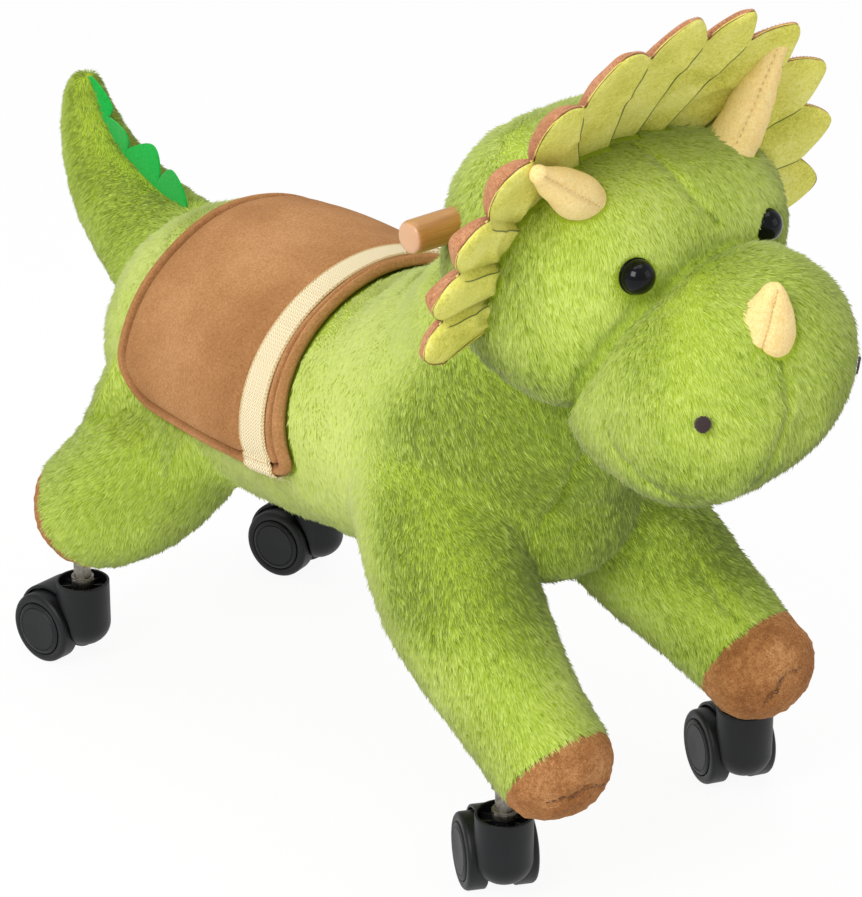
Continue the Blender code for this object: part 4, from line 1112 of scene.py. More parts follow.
def saddle_piece(saddle):
    """The pad: a rolled border, a pressed seam inside it and a crowned middle."""
    rows, columns = 170, 220
    shares, turns = (np.linspace(-1, 1, count) for count in (rows, columns))
    shares, turns = (np.sign(line) * (1 - (1 - np.abs(line)) ** 1.6) for line in (shares, turns))
    grid_run, grid_turn = np.meshgrid(shares, turns, indexing="ij")
    square = np.maximum(np.abs(grid_run), np.abs(grid_turn))
    scale = np.maximum(square, 1e-9)
    run_way = grid_run / scale * saddle.half_run
    turn_way = grid_turn / scale * saddle.half_turn
    reach = saddle.reach(run_way, turn_way, 0.0, 1.0, 24)
    run, turn = run_way * reach * square, turn_way * reach * square
    flat = np.stack([run, turn, run * 0], -1).reshape(-1, 3)
    ripple = 0.0004 * ripples(flat, 0.05, 71).reshape(run.shape)
    upper = saddle.place(run, turn, 0.0004 + saddle.lift(run, turn) + ripple)
    under = saddle.place(run, turn, 0.0002)
    points = np.concatenate([upper.reshape(-1, 3), under.reshape(-1, 3)])
    return faced_outwards(mesh_object("saddle", points, slab_faces(rows, columns)))


def pad_outline(saddle, inset, spacing):
    """Run and turn of places along the pad's outline, an inset inside it and evenly spaced."""
    angles = np.linspace(0, math.tau, 1441)
    run_way, turn_way = np.cos(angles) * saddle.half_run, np.sin(angles) * saddle.half_turn
    reach = saddle.reach(run_way, turn_way, inset, 1.6, 30)
    run, turn = run_way * reach, turn_way * reach
    knots = np.concatenate([[0.0], np.cumsum(np.hypot(np.diff(run), np.diff(turn)))])
    at = np.linspace(0, knots[-1], int(knots[-1] / spacing) * 4 + 1)
    return np.interp(at, knots, run), np.interp(at, knots, turn)


def pad_stitches(saddle):
    """The row of dark stitches in the groove inside the pad's rolled border, wide and dark so that they
    also paint the groove's shade.
    """
    run, turn = pad_outline(saddle, PAD_GROOVE, 0.0026)
    height = saddle.lift(run, turn) + 0.0009
    line = saddle.place(run, turn, height)
    return threads("pad_stitches", [line[i:i + 4] for i in range(0, len(line) - 4, 4)], 0.00050)


def press_under(skin, saddle):
    """Presses the skin down under pad and girth, so that no bulge of a leg comes up through them."""
    reach = 0.030
    runs = np.linspace(-saddle.half_run - reach, saddle.half_run + reach, 130)
    turns = np.linspace(-math.pi, math.pi, 260) * saddle.around
    run, turn = np.meshgrid(runs, turns, indexing="ij")
    sheet = saddle.place(run, turn, 0.0).reshape(-1, 3)
    above = saddle.place(run, turn, 0.001).reshape(-1, 3)
    edge = saddle.edge_distance(run, turn).ravel()
    from_strap = np.maximum(np.abs(run.ravel() - saddle.strap_middle) - STRAP_WIDTH / 2, 0.0)
    search = KDTree(len(sheet))
    for index, spot in enumerate(sheet):
        search.insert(spot, index)
    search.balance()
    points = coordinates(skin.data)
    for number, point in enumerate(points):
        spot, index, distance = search.find(point)
        if distance > reach:
            continue
        normal = (above[index] - sheet[index]) * 1000.0
        height = (point - sheet[index]) @ normal
        room = -0.0030 + 0.85 * max(-edge[index] - 0.002, 0.0)
        room = min(room, GIRTH_DEPTH - 0.0004 + 0.9 * from_strap[index])
        if height > room:
            points[number] = point - normal * (height - room)
    set_coordinates(skin.data, points)


def strap_lift(saddle, run, turn):
    """Height of the strap's underside over the torso: on the pad, over its border, then in the plush."""
    edge = saddle.edge_distance(run, turn)
    on_pad = 0.0004 + saddle.lift(run, turn) + 0.0004
    over_border = 0.0060
    past = step(-edge, 0.0, 0.006)
    at_edge = np.where(edge < 0.0122, np.maximum(over_border, on_pad), on_pad)
    return at_edge * (1 - past) + GIRTH_DEPTH * past


def strap_pieces(saddle):
    """The webbing ring, with its two edge stitch lines and the bar tacks at the pad's lower edges."""
    steps, columns = 480, 13
    around = np.linspace(0, math.tau, steps + 1)
    turns = np.where(around <= math.pi, around, around - math.tau) * saddle.around
    middle = saddle.strap_middle
    across = np.linspace(-0.5, 0.5, columns) * STRAP_WIDTH
    turn, offset = np.meshgrid(turns, across, indexing="ij")
    lift = strap_lift(saddle, middle + offset * 0, turn)
    edge_drop = 0.0003 * (np.abs(offset) / (STRAP_WIDTH / 2)) ** 8
    upper = saddle.place(middle + offset, turn, lift + STRAP_THICKNESS - edge_drop)
    under = saddle.place(middle + offset, turn, lift)
    count = (steps + 1) * columns
    points = np.concatenate([upper.reshape(-1, 3), under.reshape(-1, 3)])
    faces = strip_faces(steps + 1, columns)
    faces += [tuple(i + count for i in face[::-1]) for face in faces]
    for i in range(steps):
        for j, flip in ((0, False), (columns - 1, True)):
            a, b = i * columns + j, (i + 1) * columns + j
            side = (a, b, b + count, a + count)
            faces.append(side[::-1] if flip else side)
    band = mesh_object("girth_band", points, faces)
    layer = band.data.uv_layers.new(name="OFBake")
    tiles = round(float(saddle.around * math.tau) / STRAP_WIDTH)
    for polygon in band.data.polygons:
        rows_here = [(v % count) // columns for v in polygon.vertices]
        start = min(rows_here) * tiles // steps
        for loop, vertex in zip(polygon.loop_indices, polygon.vertices):
            row, column = divmod(vertex % count, columns)
            up = min(max(row * tiles / steps - start, 0.0), 1.0)
            layer.data[loop].uv = (column / (columns - 1), up)
    stitches = []
    for offset_now in (-0.5, 0.5):
        run = middle + offset_now * (STRAP_WIDTH - 0.0024)
        for turn_now in np.arange(-saddle.half_turn + 0.002, saddle.half_turn - 0.002, 0.0030):
            stitches.append(((run, turn_now), (run, turn_now + 0.0021)))
    for sign in (-1, 1):
        level = sign * (saddle.half_turn - 0.0105)
        for share in np.linspace(-0.46, 0.40, 11):
            run = middle + share * STRAP_WIDTH
            stitches.append(((run, level), (run + 0.0016, level)))
    centres = []
    for (run_a, turn_a), (run_b, turn_b) in stitches:
        turn_line = np.linspace(turn_a, turn_b, 4)
        run_line = np.linspace(run_a, run_b, 4)
        height = strap_lift(saddle, np.full(4, middle), turn_line) + STRAP_THICKNESS
        height = height + np.array([-0.0001, 0.0003, 0.0003, -0.0001])
        centres.append(saddle.place(run_line, turn_line, height))
    return band, threads("strap_stitches", centres, 0.00040)


def threads(name, lines, radius, sides=5):
    """Short round threads, each along its own line of points."""
    points, faces = [], []
    for line in lines:
        line = np.asarray(line)
        ahead = unit(np.gradient(line, axis=0))
        hint = np.array([0.3, 0.5, 0.81])
        side = unit(np.cross(ahead, hint))
        up = np.cross(side, ahead)
        rings = []
        taper = np.ones(len(line))
        taper[0] = taper[-1] = 0.5
        for place, s, u, size in zip(line, side, up, taper):
            ring = []
            for k in range(sides):
                angle = math.tau * k / sides
                ring.append(len(points))
                points.append(place + (s * math.cos(angle) + u * math.sin(angle)) * radius * size)
            rings.append(ring)
        faces += faces_between(rings)
        faces += [tuple(rings[0][::-1]), tuple(rings[-1])]
    return faced_outwards(mesh_object(name, points, faces))


# The frill. Its centre, sweep and lean are the CAD's, and its rim follows the photo.
FRILL_CENTRE = (-0.196 + ORIGIN_SHIFT.y, 0.404)
FRILL_SCALLOPS = 12
FRILL_SWEEP = math.radians(206.0)
FRILL_INNER = 0.074
FRILL_NOTCH = 0.141
FRILL_LEAN = 0.40
FRILL_FLARE = 0.020
FRILL_PLEAT = 0.0030
# Where the scallops part, as shares of the sweep. Along the sweep, how much further out the notches are
# and how far the scallops stand out from them.
FRILL_PARTS = (-0.015, 0.045, 0.110, 0.180, 0.260, 0.338, 0.430, 0.515, 0.595, 0.690, 0.790, 0.880,
               0.965)
FRILL_GAIN = ((0.0, 0.25, 0.42, 0.55, 0.75, 1.0), (0.0, 0.001, 0.006, 0.002, -0.001, -0.002))
FRILL_DEPTHS = ((0.0, 0.5, 0.7, 1.0), (0.019, 0.021, 0.017, 0.016))


def frill_sheet(turn, out):
    """Points of the frill's middle sheet: turn runs 0 to 1 from cheek to cheek, out from head to edge."""
    turn, out = np.broadcast_arrays(np.asarray(turn, float), np.asarray(out, float))
    phase = turn * FRILL_SCALLOPS
    share = np.interp(phase, np.arange(FRILL_SCALLOPS + 1), FRILL_PARTS)
    angle = FRILL_SWEEP * (share - 0.5)
    within = np.abs(2 * (phase - np.floor(phase)) - 1)
    edge = FRILL_NOTCH + np.interp(share, *FRILL_GAIN)
    edge = edge + np.interp(share, *FRILL_DEPTHS) * (1.08 - (within ** 2 + 0.01) ** 0.7)
    radius = FRILL_INNER + (edge - FRILL_INNER) * out
    height = radius * np.cos(angle)
    fold = FRILL_PLEAT * np.cos(math.tau * phase) * np.clip(out, 0, None)
    forward = FRILL_LEAN * np.maximum(height, -0.02) * np.sqrt(np.clip(out, 0, None))
    forward = forward + FRILL_FLARE * out ** 2 * 0.5 - fold
    places = radius * np.sin(angle), FRILL_CENTRE[0] - forward, FRILL_CENTRE[1] + height
    return np.stack(places, axis=-1)


def frill_normals(turn, out):
    """The way the frill's sheet faces, forwards."""
    small = 2e-3
    across = frill_sheet(np.minimum(turn + small, 1.0), out)
    across = across - frill_sheet(np.maximum(turn - small, 0.0), out)
    outwards = frill_sheet(turn, np.minimum(out + small, 1.0))
    outwards = outwards - frill_sheet(turn, np.maximum(out - small, 1e-4))
    normal = unit(np.cross(across, outwards))
    return normal * np.where(normal[..., 1:2] > 0, -1.0, 1.0)


def petal_height(turn, out):
    """Height of the frill's front over its sheet: every petal swells towards its later side, ends there
    in a rounded step onto the next one and has a soft fold slanting up across it."""
    phase = (turn * FRILL_SCALLOPS) % 1.0
    ends = np.minimum(1.0, 0.45 + 6 * np.minimum(turn, 1 - turn))
    rim = np.sqrt(np.clip(1 - ((out - 0.82) / 0.18).clip(0, 1) ** 2, 0, 1))
    brink = np.sqrt(np.clip(1 - ((phase - 0.91) / 0.09).clip(0, 1) ** 2, 0, 1))
    height = 0.0082 * (0.25 + 0.75 * rim) * (0.16 + 0.84 * phase ** 0.6) * (0.06 + 0.94 * brink) * ends
    petal = np.minimum((turn * FRILL_SCALLOPS).astype(int), FRILL_SCALLOPS - 1)
    chance = np.random.default_rng(83)
    level = chance.uniform(0.40, 0.66, FRILL_SCALLOPS)[petal]
    tilt = chance.uniform(0.10, 0.42, FRILL_SCALLOPS)[petal]
    above = out - (level + tilt * (phase - 0.5))
    fold = 0.0024 * np.exp(-(above / 0.045) ** 2) - 0.0018 * np.exp(-((above + 0.12) / 0.07) ** 2)
    return height + fold * np.sin(np.pi * phase.clip(0.02, 0.98)) ** 0.6 * rim


def frill_fold_shadows():
    """Dark olive lines laid where each petal is tucked onto the next one: painted shadow of the tucks."""
    lines = []
    for number in range(1, FRILL_SCALLOPS):
        out = np.linspace(0.10, 0.945, 40)
        turn = np.full(40, (number - 0.045) / FRILL_SCALLOPS)
        height = np.maximum(petal_height(turn, out), 0.0003) + 0.0002
        lines.append(frill_sheet(turn, out) + frill_normals(turn, out) * height[:, None])
    return threads("frill_fold_shadows", lines, 0.00050)


def frill_piece(front):
    """One face of the frill: a stuffed petal between every two pleats, rolled over at the rim."""
    per_scallop = 22
    columns = FRILL_SCALLOPS * per_scallop + 1
    turn = np.linspace(0, 1, columns)
    plain, rest, steps = (0.9, 0.1, 20) if front else (0.88, 0.12, 16)
    rolled = plain + rest * np.sin(np.linspace(0.1, 1, 8) * np.pi / 2)
    outs = np.concatenate([np.linspace(0.0, plain, steps), rolled])
    grid_turn, grid_out = np.meshgrid(turn, outs, indexing="ij")
    phase = (grid_turn * FRILL_SCALLOPS) % 1.0
    pinch = np.abs(np.sin(np.pi * phase))
    normals = frill_normals(grid_turn, np.clip(grid_out, 0.02, 0.98))
    sheet = frill_sheet(grid_turn, grid_out)
    crumple = ripples(sheet.reshape(-1, 3), 0.030, 81).reshape(phase.shape)
    if front:
        height = np.maximum(petal_height(grid_turn, grid_out) + 0.0006 * crumple * pinch, 0.0003)
        points = sheet + normals * height[..., None]
    else:
        ends = np.minimum(1.0, 0.45 + 6 * np.minimum(grid_turn, 1 - grid_turn))
        rim = np.clip((grid_out - 0.76) / 0.24, 0, 1)
        stuffing = np.interp(grid_turn, (0.0, 0.30, 0.46, 1.0), (1.0, 1.0, 0.55, 0.50))
        pillow = (0.16 + 0.84 * pinch ** 0.6) * stuffing
        roll = np.sqrt(np.clip(1 - rim ** 2, 0, 1))
        height = 0.0105 * pillow * roll * ends + 0.0008 * crumple * pinch * roll
        beyond = np.sin(np.pi * rim ** 0.8) * 0.0044 * (0.10 + 0.90 * pinch) * stuffing
        away = unit(frill_sheet(grid_turn, np.minimum(grid_out + 0.02, 1.0))
                    - frill_sheet(grid_turn, np.maximum(grid_out - 0.02, 0.0)))
        lip = 0.0016 * rim ** 3
        points = sheet - normals * (height - lip)[..., None] + away * beyond[..., None]
    inner = (sheet + normals * (0.0004 if front else -0.0004))[:, ::-1]
    loop = np.concatenate([points, inner[:, 1:-1]], axis=1)
    rows, width = loop.shape[:2]
    faces = strip_faces(rows, width, wrap=True)
    faces += [tuple(range(width))[::-1], tuple((rows - 1) * width + j for j in range(width))]
    name = "frill_face" if front else "frill_reverse"
    return faced_outwards(mesh_object(name, loop.reshape(-1, 3), faces))


def frill_rim_shadow_strokes():
    """Short slanting dark strokes along the rim, where the brown back meets the green front: painted
    shadow lines of the nap, made as threads.
    """
    lines = []
    for turn in np.linspace(0.004, 0.996, 300):
        share = np.linspace(0.0, 1.0, 4)
        turns = turn + 0.0016 * share
        out = 0.992 - 0.012 * share
        height = np.array([-0.0012, 0.0010, 0.0010, -0.0012])
        lines.append(frill_sheet(turns, out) + frill_normals(turns, out) * height[:, None])
    return threads("frill_rim_shadow_strokes", lines, 0.00028)


def horn_piece(name, base, tip, radius, tip_round, seam_degrees, rows):
    """A stuffed horn with a sewn seam up one side. Returns the horn and the seam's stitches."""
    seam_angle = math.radians(seam_degrees)
    base, tip = (np.array(place) + np.array(ORIGIN_SHIFT) for place in (base, tip))
    lean = tip - base
    stations = [(*(base + lean * share), radius * width, radius * width) for share, width in rows]
    side = (0.0, 0.0, 1.0) if abs(lean[2]) < 0.8 * np.linalg.norm(lean) else (1.0, 0.0, 0.0)
    form = Form(stations, (radius * 0.4, radius * tip_round), side)
    points, faces = form.grid(40, 10, 30)
    horn = faced_outwards(mesh_object(name, points, faces))
    along = np.linspace(form.length * 0.30, form.length * 0.97, 46)
    line = form.points(along, np.full(46, seam_angle), -0.0002)
    furrow(horn, line, 0.0016, 0.0016)
    push_out(horn, 0.0005 * ripples(coordinates(horn.data), 0.016, 91))
    stitches = []
    for start in np.linspace(form.length * 0.32, form.length * 0.93, 15):
        run = np.linspace(start, start + 0.0020, 4)
        sunk = np.array([-0.0008, -0.0001, -0.0001, -0.0008])
        stitches.append(form.points(run, np.full(4, seam_angle), sunk))
    return horn, threads(f"{name}_stitches", stitches, 0.00034)


def eye_piece(name, centre, outward):
    """A glossy safety eye: a dome on a thin rim."""
    radius = EYE_RADIUS
    outward = Vector(outward).normalized()
    profile = []
    for angle in np.linspace(0.0, math.pi * 0.55, 26):
        profile.append((radius * math.sin(angle) if angle else 0.0, radius * 0.98 * math.cos(angle)))
    low = profile[-1][1]
    rim = [(radius * 1.015, low + 0.0010), (radius * 1.05, low + 0.0004), (radius * 1.055, low - 0.0006),
           (radius * 1.02, low - 0.0014), (radius * 0.8, low - 0.0018), (0.0, low - 0.0018)]
    piece = turned_piece(name, profile + rim, 56)
    turn = Vector((0.0, 0.0, 1.0)).rotation_difference(outward).to_matrix().to_4x4()
    piece.data.transform(Matrix.Translation(centre) @ turn)
    return piece


def turned_piece(name, profile, segments, sharp=None):
    """A solid turned about Z from a profile of radius and height."""
    points, rings = [], []
    for radius, height in profile:
        if radius <= 0.0:
            rings.append([len(points)])
            points.append((0.0, 0.0, height))
            continue
        ring = []
        for i in range(segments):
            angle = math.tau * i / segments
            ring.append(len(points))
            points.append((radius * math.cos(angle), radius * math.sin(angle), height))
        rings.append(ring)
    piece = faced_outwards(mesh_object(name, points, faces_between(rings)))
    if sharp:
        piece.data.set_sharp_from_angle(angle=math.radians(sharp))
    return piece


def rounded(profile, radius, steps=4):
    """A profile with its corners rounded off."""
    result = [profile[0]]
    for before, corner, after in zip(profile, profile[1:], profile[2:]):
        before, corner, after = (np.array(p, float) for p in (before, corner, after))
        into, out = before - corner, after - corner
        reach = min(radius, np.linalg.norm(into) * 0.45, np.linalg.norm(out) * 0.45)
        first = corner + into / np.linalg.norm(into) * reach
        last = corner + out / np.linalg.norm(out) * reach
        for i in range(steps + 1):
            share = i / steps
            point = (1 - share) ** 2 * first + 2 * share * (1 - share) * corner + share ** 2 * last
            result.append((max(float(point[0]), 0.0001), float(point[1])))
    result.append(profile[-1])
    return result


def nostril_piece(name, centre, outward, seed):
    """A small disc of horizontal satin stitches."""
    radius = NOSTRIL_RADIUS
    outward = unit(np.array(outward))
    side = unit(np.cross(np.array([0.0, 0.0, 1.0]), outward))
    up = np.cross(outward, side)
    chance = np.random.default_rng(seed)
    lines = []
    for level in np.linspace(-0.93, 0.93, 15):
        half = math.sqrt(1 - level ** 2) * radius + chance.uniform(-0.0002, 0.0002)
        across = np.linspace(-1, 1, 9)
        dome = 0.0011 * (1 - 0.8 * across ** 6) + chance.uniform(-0.0001, 0.0001)
        row = centre + side * (across * half)[:, None] + up * level * radius
        lines.append(row + outward * dome[:, None])
    return threads(name, lines, 0.00042, 6)


def paw_piece(name, stations, plane):
    """A velour paw: the end of the leg's form beyond the seam plane."""
    form = Form(stations, LEG_CAPS, shrink=0.0006)
    points, faces = form.grid(72, 16, 60)
    paw = faced_outwards(mesh_object(name, points, faces))
    place, normal = plane
    origin = Vector(place) + ORIGIN_SHIFT
    shape = bmesh.new()
    shape.from_mesh(paw.data)
    bmesh.ops.bisect_plane(shape, geom=shape.verts[:] + shape.edges[:] + shape.faces[:],
                           plane_co=origin, plane_no=normal, clear_inner=True)
    bmesh.ops.holes_fill(shape, edges=[edge for edge in shape.edges if edge.is_boundary])
    bmesh.ops.recalc_face_normals(shape, faces=shape.faces)
    shape.to_mesh(paw.data)
    shape.free()
    paw.data.shade_smooth()
    paw.data.set_sharp_from_angle(angle=math.radians(60))
    points = coordinates(paw.data)
    beyond = (points - np.array(origin)) @ unit(np.array(normal))
    tuck = 0.0030 * np.exp(-np.maximum(beyond, 0.0) / 0.0035)
    fluff = 0.0005 * ripples(points, 0.014, 33) + 0.0004 * ripples(points, 0.006, 34)
    push_out(paw, fluff - tuck)
    return paw


def toe_seam(name, paw, line):
    """The puckered seam across a paw: a furrow, gathers across it and stitches down in it."""
    line = settled(np.array(line) + np.array(ORIGIN_SHIFT), paw)
    knots = travelled(line)
    line = smooth_through(knots, line, np.linspace(0, 1, 41) * knots[-1])
    distance, along = line_distance(coordinates(paw.data), line)
    push_out(paw, 0.0006 * np.sin(along * 60.0) * np.exp(-((distance - 0.003) / 0.003) ** 2))
    furrow(paw, line, 0.0019, 0.0040)
    tree = tree_of(paw)
    stitches = []
    for start in range(0, 38, 3):
        spots = [tree.find_nearest(Vector(place)) for place in line[start:start + 3]]
        stitches.append([np.array(spot) + np.array(normal) * 0.0003 for spot, normal, _, _ in spots])
    return threads(name, stitches, 0.00036)


# The crest's leaves: start and end along the tail, height and lean
CREST_LEAVES = ((0.35, 0.51, 0.0205, 0.30), (0.51, 0.71, 0.0225, -0.02),
                (0.70, 0.86, 0.0145, -0.10), (0.85, 0.985, 0.0095, -0.15))


def crest_piece(tail):
    """Four felt leaves in a strip along the tail's front side."""
    points, faces = [], []
    half = 0.0011
    for number, (start, end, height, lean) in enumerate(CREST_LEAVES):
        steps, rows = 22, 7
        shares = np.linspace(0, 1, steps)
        outline = np.sin(np.pi * shares) ** 0.62
        curl = 0.0022 * (1 if number % 2 else -1)
        face_points = []
        for row in np.linspace(0, 1, rows):
            along = (start + (end - start) * (shares + lean * row * outline * 0.6)) * tail.length
            lift = -0.005 + row * (height * outline + 0.005)
            spot = tail.points(along, np.full(steps, -np.pi / 2), lift)
            spot[:, 0] = curl * row ** 2 * np.sin(np.pi * shares)
            face_points.append(spot)
        sheet = np.stack(face_points, axis=1)
        faces += slab_faces(steps, rows, len(points))
        for x in (half, -half):
            moved = sheet.copy()
            moved[..., 0] += x * (1.0 - 0.35 * np.linspace(0, 1, rows)[None, :] ** 6)
            points += [tuple(p) for p in moved.reshape(-1, 3)]
    crest = faced_outwards(mesh_object("crest_leaves", points, faces))
    crest.data.set_sharp_from_angle(angle=math.radians(50))
    return crest


def handle_piece():
    """The turned wooden handle, with softly rounded ends."""
    half, radius = HANDLE_HALF, HANDLE_RADIUS
    profile = rounded([(0.0, -half), (radius, -half), (radius, half), (0.0, half)], 0.0055, 7)
    dowel = turned_piece("handle_dowel", profile, 56)
    middle = Vector(HANDLE_MIDDLE) + ORIGIN_SHIFT
    dowel.data.transform(Matrix.Translation(middle) @ Matrix.Rotation(math.pi / 2, 4, "Y"))
    return dowel


# Casters, as the CAD has them
TRACK = 0.211
WHEELBASE = 0.434
SWIVEL_ANGLES = {"front_right": 62.0, "front_left": 69.0, "rear_right": 98.0, "rear_left": 107.0}
TRAIL = 0.022
WHEEL_RADIUS = 0.025
WHEEL_WIDTH = 0.014
WHEEL_INNER = 0.0090
DISC_RECESS = 0.0016
BARREL_TOP = 0.0615
BARREL_RADIUS = 0.0185
BARREL_BOTTOM = 0.0135
POCKET_DEPTH = 0.0070
BARREL_WALL = 0.0018
RIBS = 8
WELL_RADIUS = 0.0267
HOOD_WALL = 0.0019
HOOD_HALF = 0.0130
HOOD_FOOT = 0.0225
WEB_HALF = 0.0080


def boolean(piece, tool, operation):
    """The piece cut by, or united with, a tool that is used up."""
    cutter = piece.modifiers.new("cut", "BOOLEAN")
    cutter.operation = operation
    cutter.solver = "EXACT"
    cutter.object = tool
    applied(piece)
    bpy.data.objects.remove(tool)
    return piece


def block(low, high):
    """A box between two corners."""
    low, high = Vector(low), Vector(high)
    shape = bmesh.new()
    bmesh.ops.create_cube(shape, size=1.0)
    bmesh.ops.scale(shape, vec=high - low, verts=shape.verts)
    bmesh.ops.translate(shape, vec=(low + high) / 2, verts=shape.verts)
    mesh = bpy.data.meshes.new("block")
    shape.to_mesh(mesh)
    shape.free()
    return add_object("block", mesh)


def laid_across(piece, y_start):
    """A turned piece laid along the axle."""
    seat = Matrix.Translation((TRAIL, y_start, WHEEL_RADIUS))
    piece.data.transform(seat @ Matrix.Rotation(-math.pi / 2, 4, "X"))
    return piece


def housing_piece():
    """Moulded housing: an open ribbed barrel, and the web and hood between and over the wheels."""
    floor = BARREL_TOP - POCKET_DEPTH
    inner = BARREL_RADIUS - BARREL_WALL
    round_end = BARREL_RADIUS * 0.9
    profile = [(0.0, BARREL_BOTTOM)]
    for i in range(1, 13):
        angle = math.pi / 2 * i / 12
        height = BARREL_BOTTOM + round_end * (1 - math.cos(angle))
        profile.append((BARREL_RADIUS * math.sin(angle), height))
    rim = [(BARREL_RADIUS, BARREL_TOP - 0.002), (BARREL_RADIUS, BARREL_TOP), (inner, BARREL_TOP),
           (inner, BARREL_TOP - 0.002)]
    profile += rounded(rim, 0.0006, 3)
    profile += [(inner, floor), (0.0078, floor), (0.0078, floor + 0.0038), (0.0, floor + 0.0038)]
    housing = turned_piece("housing", profile, 72)
    well, half = WELL_RADIUS, HOOD_HALF
    hood = well + HOOD_WALL
    edge = rounded([(0.0, -half), (hood, -half), (hood, half), (0.0, half)], 0.0009, 3)
    fender = laid_across(turned_piece("fender", edge, 96), 0.0)
    boolean(fender, block((-0.1, -0.1, -0.1), (0.1, 0.1, HOOD_FOOT)), "DIFFERENCE")
    boolean(housing, fender, "UNION")
    boss = turned_piece("boss", [(0.0, -0.009), (0.0095, -0.009), (0.0095, 0.009), (0.0, 0.009)], 40)
    boolean(housing, laid_across(boss, 0.0), "UNION")
    deep = 0.03
    for start in (WEB_HALF, -WEB_HALF - deep):
        drum = turned_piece("drum", [(0.0, 0.0), (well, 0.0), (well, deep), (0.0, deep)], 96)
        boolean(housing, laid_across(drum, start), "DIFFERENCE")
    for i in range(RIBS):
        rib = block((0.0070, -0.0006, floor - 0.001), (inner + 0.0008, 0.0006, floor + 0.0030))
        rib.data.transform(Matrix.Rotation(math.tau * i / RIBS, 4, "Z"))
        boolean(housing, rib, "UNION")
    housing.data.set_sharp_from_angle(angle=math.radians(32))
    return housing


def tyre_piece():
    """One wheel with a rounded tread and a ring groove, its inner face at Z = 0."""
    r, w = WHEEL_RADIUS, WHEEL_WIDTH
    profile = [(0.0, 0.0006), (r - 0.0008, 0.0006), (r, 0.0012), (r, w - 0.0030)]
    for i in range(1, 7):
        angle = math.pi / 2 * i / 6
        profile.append((r - 0.0030 * (1 - math.cos(angle)), w - 0.0030 + 0.0030 * math.sin(angle)))
    profile += [(0.0196, w), (0.0190, w - 0.0005), (0.0188, w - 0.0016), (0.0, w - 0.0016)]
    return turned_piece("tyre", profile, 96, 40)


def cap_piece():
    """The wheel's cover disc, slightly dished, with a fine ring near its edge."""
    profile = [(0.0, -0.0002), (0.0184, -0.0002), (0.0184, 0.0016), (0.0178, 0.0022),
               (0.0166, 0.0026), (0.0160, 0.0026), (0.01545, 0.0022), (0.01490, 0.0027)]
    for radius in (0.012, 0.008, 0.004):
        profile.append((radius, 0.0027 - 0.0005 * (1 - radius / 0.0149)))
    profile.append((0.0, 0.0022))
    return turned_piece("cap", profile, 96, 30)


def stem_piece():
    """The facetted steel stem with its hexagon nut and washer."""
    foot = BARREL_TOP - POCKET_DEPTH + 0.0042 + 0.0003
    corner, top = 0.0086, foot + 0.0052
    hexagon = rounded([(0.0, foot), (corner, foot), (corner, top), (0.0, top)], 0.0006, 2)
    nut = turned_piece("nut", hexagon, 6, 20)
    points, rings = [], []
    for height in (foot - 0.012, foot + 0.0060, foot + 0.0064, 0.104):
        ring = []
        for i in range(40):
            angle = math.tau * i / 40
            flat = 0.00573 / max(math.cos((angle + math.pi / 8) % (math.pi / 4) - math.pi / 8), 0.1)
            ring.append(len(points))
            radius = min(flat, 0.00605)
            points.append((radius * math.cos(angle), radius * math.sin(angle), height))
        rings.append(ring)
    rod = mesh_object("rod", points, faces_between(rings) + [tuple(rings[0][::-1]), tuple(rings[-1])])
    faced_outwards(rod)
    rod.data.set_sharp_from_angle(angle=math.radians(12))
    collar = rounded([(0.0058, foot + 0.0050), (0.0078, foot + 0.0050), (0.0078, foot + 0.0062),
                      (0.0058, foot + 0.0062)], 0.0004, 2)
    washer = turned_piece("washer", [(0.0, foot + 0.0050)] + collar + [(0.0, foot + 0.0062)], 40, 40)
    return joined("stem", nut, rod, washer)


def joined(name, *parts):
    """Several pieces made into one object, each keeping its own closed surface."""
    shape = bmesh.new()
    for part in parts:
        shape.from_mesh(part.data)
        bpy.data.objects.remove(part)
    mesh = bpy.data.meshes.new(name)
    shape.to_mesh(mesh)
    shape.free()
    return add_object(name, mesh)


def copy_of(source, name, matrix):
    """A copy of a piece, with its mesh moved by a matrix."""
    piece = add_object(name, source.data.copy())
    piece.data.transform(matrix)
    piece.data.name = name
    return piece


def make_casters():
    """The four casters, each with its stem, housing, two wheels and their cover discs."""
    housing, tyre, cap, stem = housing_piece(), tyre_piece(), cap_piece(), stem_piece()
    for corner, degrees in SWIVEL_ANGLES.items():
        end, hand = corner.split("_")
        x = TRACK / 2 * (1 if hand == "left" else -1)
        y = WHEELBASE / 2 * (1 if end == "rear" else -1)
        stand = Matrix.Translation(Vector((x, y, 0.0)) + ORIGIN_SHIFT)
        swivel = stand @ Matrix.Rotation(math.radians(degrees), 4, "Z")
        dress(copy_of(stem, f"{corner}_stem_rod", stand), STEM_STEEL, "root",
              [f"{corner}_stem"])
        dress(copy_of(housing, f"{corner}_hood", swivel), CASTER_BLACK,
              f"{corner}_caster", [f"{corner}_housing"])
        for side, turn in (("left", -math.pi / 2), ("right", math.pi / 2)):
            outward = 1 if side == "left" else -1
            flip = Matrix.Rotation(turn, 4, "X")
            for source, name, seat, node in (
                    (tyre, "tyre", WHEEL_INNER, "wheel"),
                    (cap, "disc", WHEEL_INNER + WHEEL_WIDTH - DISC_RECESS, "wheel_cap")):
                place = swivel @ Matrix.Translation((TRAIL, outward * seat, WHEEL_RADIUS)) @ flip
                dress(copy_of(source, f"{corner}_{name}_{side}", place), CASTER_BLACK,
                      f"{corner}_{side}_wheel", [f"{corner}_{node}_{side}"])
    for source in (housing, tyre, cap, stem):
        bpy.data.objects.remove(source)


